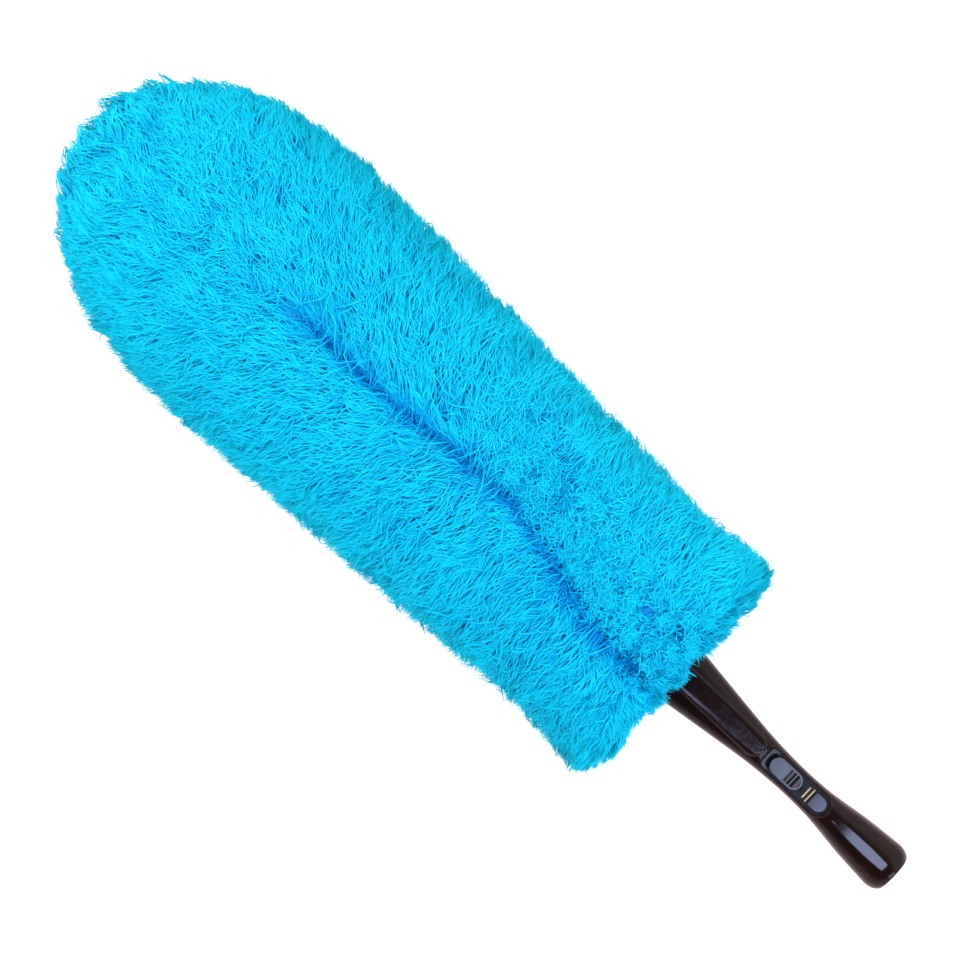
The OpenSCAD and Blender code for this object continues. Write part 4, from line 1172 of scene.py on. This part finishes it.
thick = STRAND_R * rng.uniform(0.75, 1.3, STRANDS)
profile = np.array([0.8, 1.0, 0.95, 0.0])
# Each strand's tone varies at random, and is darker where its tip lies deeper, in the swells that
# sink it and in the valley: painted shade
tint_and_painted_shade = 0.8 + 0.07 * rng.normal(size=STRANDS) - 0.022 * deep - 0.06 * swell - 0.4 * valley
# Beside the sharp parting, and on low wisps of the ridge, the strands are darker: painted shade
painted_shade_by_parting = np.exp(-((apart - 7) / 8) ** 2) * top * (1 - ease((tip[:, 0] - 280) / 30))
tint_and_painted_shade -= 0.3 * painted_shade_by_parting * ease((tip[:, 0] - 165) / 20) + 0.35 * wisp_low * ridge
# In the sharp parting the strands are darker still: painted shade
tint_and_painted_shade = np.clip(tint_and_painted_shade - 0.35 * sharp, 0.03, 0.97)

# %% Strand meshes


def strand_mesh(name, chosen):
    """One piece of pile: the chosen strands, each a copy of the one strand."""
    n = len(chosen)
    line = path[chosen]
    ahead = unit(np.gradient(line, axis=1))
    across = unit(np.cross(ahead, np.repeat(sideways[chosen][:, None], LENGTHS + 1, 1)))
    third = np.cross(ahead, across)
    r = thick[chosen][:, None] * profile
    level, turn = LEVEL, ROUND
    co = (line[:, level] + across[:, level] * (r[:, level] * np.cos(turn))[..., None]
          + third[:, level] * (r[:, level] * np.sin(turn))[..., None])
    co = place(co.reshape(-1, 3)).astype(np.float32)
    sizes = np.array([len(f) for f in STRAND_FACES])
    flat = np.concatenate(STRAND_FACES)
    corner = (flat[None, :] + len(LEVEL) * np.arange(n)[:, None]).ravel()
    totals = np.tile(sizes, n)
    starts = np.concatenate([[0], np.cumsum(totals)[:-1]])
    mesh = bpy.data.meshes.new(name)
    mesh.vertices.add(len(co))
    mesh.vertices.foreach_set("co", co.ravel())
    mesh.loops.add(len(corner))
    mesh.loops.foreach_set("vertex_index", corner.astype(np.int32))
    mesh.polygons.add(len(totals))
    mesh.polygons.foreach_set("loop_start", starts.astype(np.int32))
    mesh.polygons.foreach_set("use_smooth", np.ones(len(totals), bool))
    mesh.update(calc_edges=True)
    along = np.tile(t[LEVEL[flat]], n) * 0.94 + 0.03
    uv = np.stack([np.repeat(tint_and_painted_shade[chosen], len(flat)), along], 1).astype(np.float32)
    # Fluff scatters light, so its shading follows the pile's form more than each strand's
    shade = (0.8 * out[chosen][:, None] + 0.2 * (
        across[:, level] * np.cos(turn)[:, None] + third[:, level] * np.sin(turn)[:, None]))
    mesh.normals_split_custom_set_from_vertices(unit(shade).reshape(-1, 3).tolist())
    mesh.uv_layers.new(name="OFBake").uv.foreach_set("vector", uv.ravel())
    o = bpy.data.objects.new(name, mesh)
    bpy.context.scene.collection.objects.link(o)
    coat(o, yarn)
    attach(o, "sleeve")
    return o


BANDS = 5
for label, on_side, node_name in (("left", path[:, -1, 1] >= 0, "pile_left"),
                                  ("right", path[:, -1, 1] < 0, "pile_right")):
    ours = np.flatnonzero(on_side)
    ours = ours[np.argsort(path[ours, -1, 0], kind="stable")]
    for k, chosen in enumerate(np.array_split(ours, BANDS)):
        piece = strand_mesh(f"pile_{label}_{k + 1}", chosen)
        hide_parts(node_name)
        corners_of = sum(len(f) - 2 for f in STRAND_FACES) * len(chosen)
        print(piece.name, len(chosen), "strands", corners_of, "triangles")

# %% [markdown]
# ## Measures
# The size of the dressed model beside the CAD box, and how far each thing shows from its
# image point.

# %% Measures
bpy.context.view_layer.update()

shown = [picture_place([v for v in np.array([c.co[:] for c in o.data.vertices])])
         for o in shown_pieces() if o.type == "MESH"]
shown = np.concatenate(shown)
LANDMARKS = {
    "slider": (SLIDER_FROM + SLIDER_LEN / 2, 0, SLIDER_TOP), "thumb_pad": (57.9, 0, PAD_TOP),
    "index_marks": (65.5, 0, FLOOR_Z), "handle_nub": (nub_u, 0, nub_z), "pole_lip": (0, 0, 0),
}
for name, where in LANDMARKS.items():
    at = picture_place(place([where]))[0]
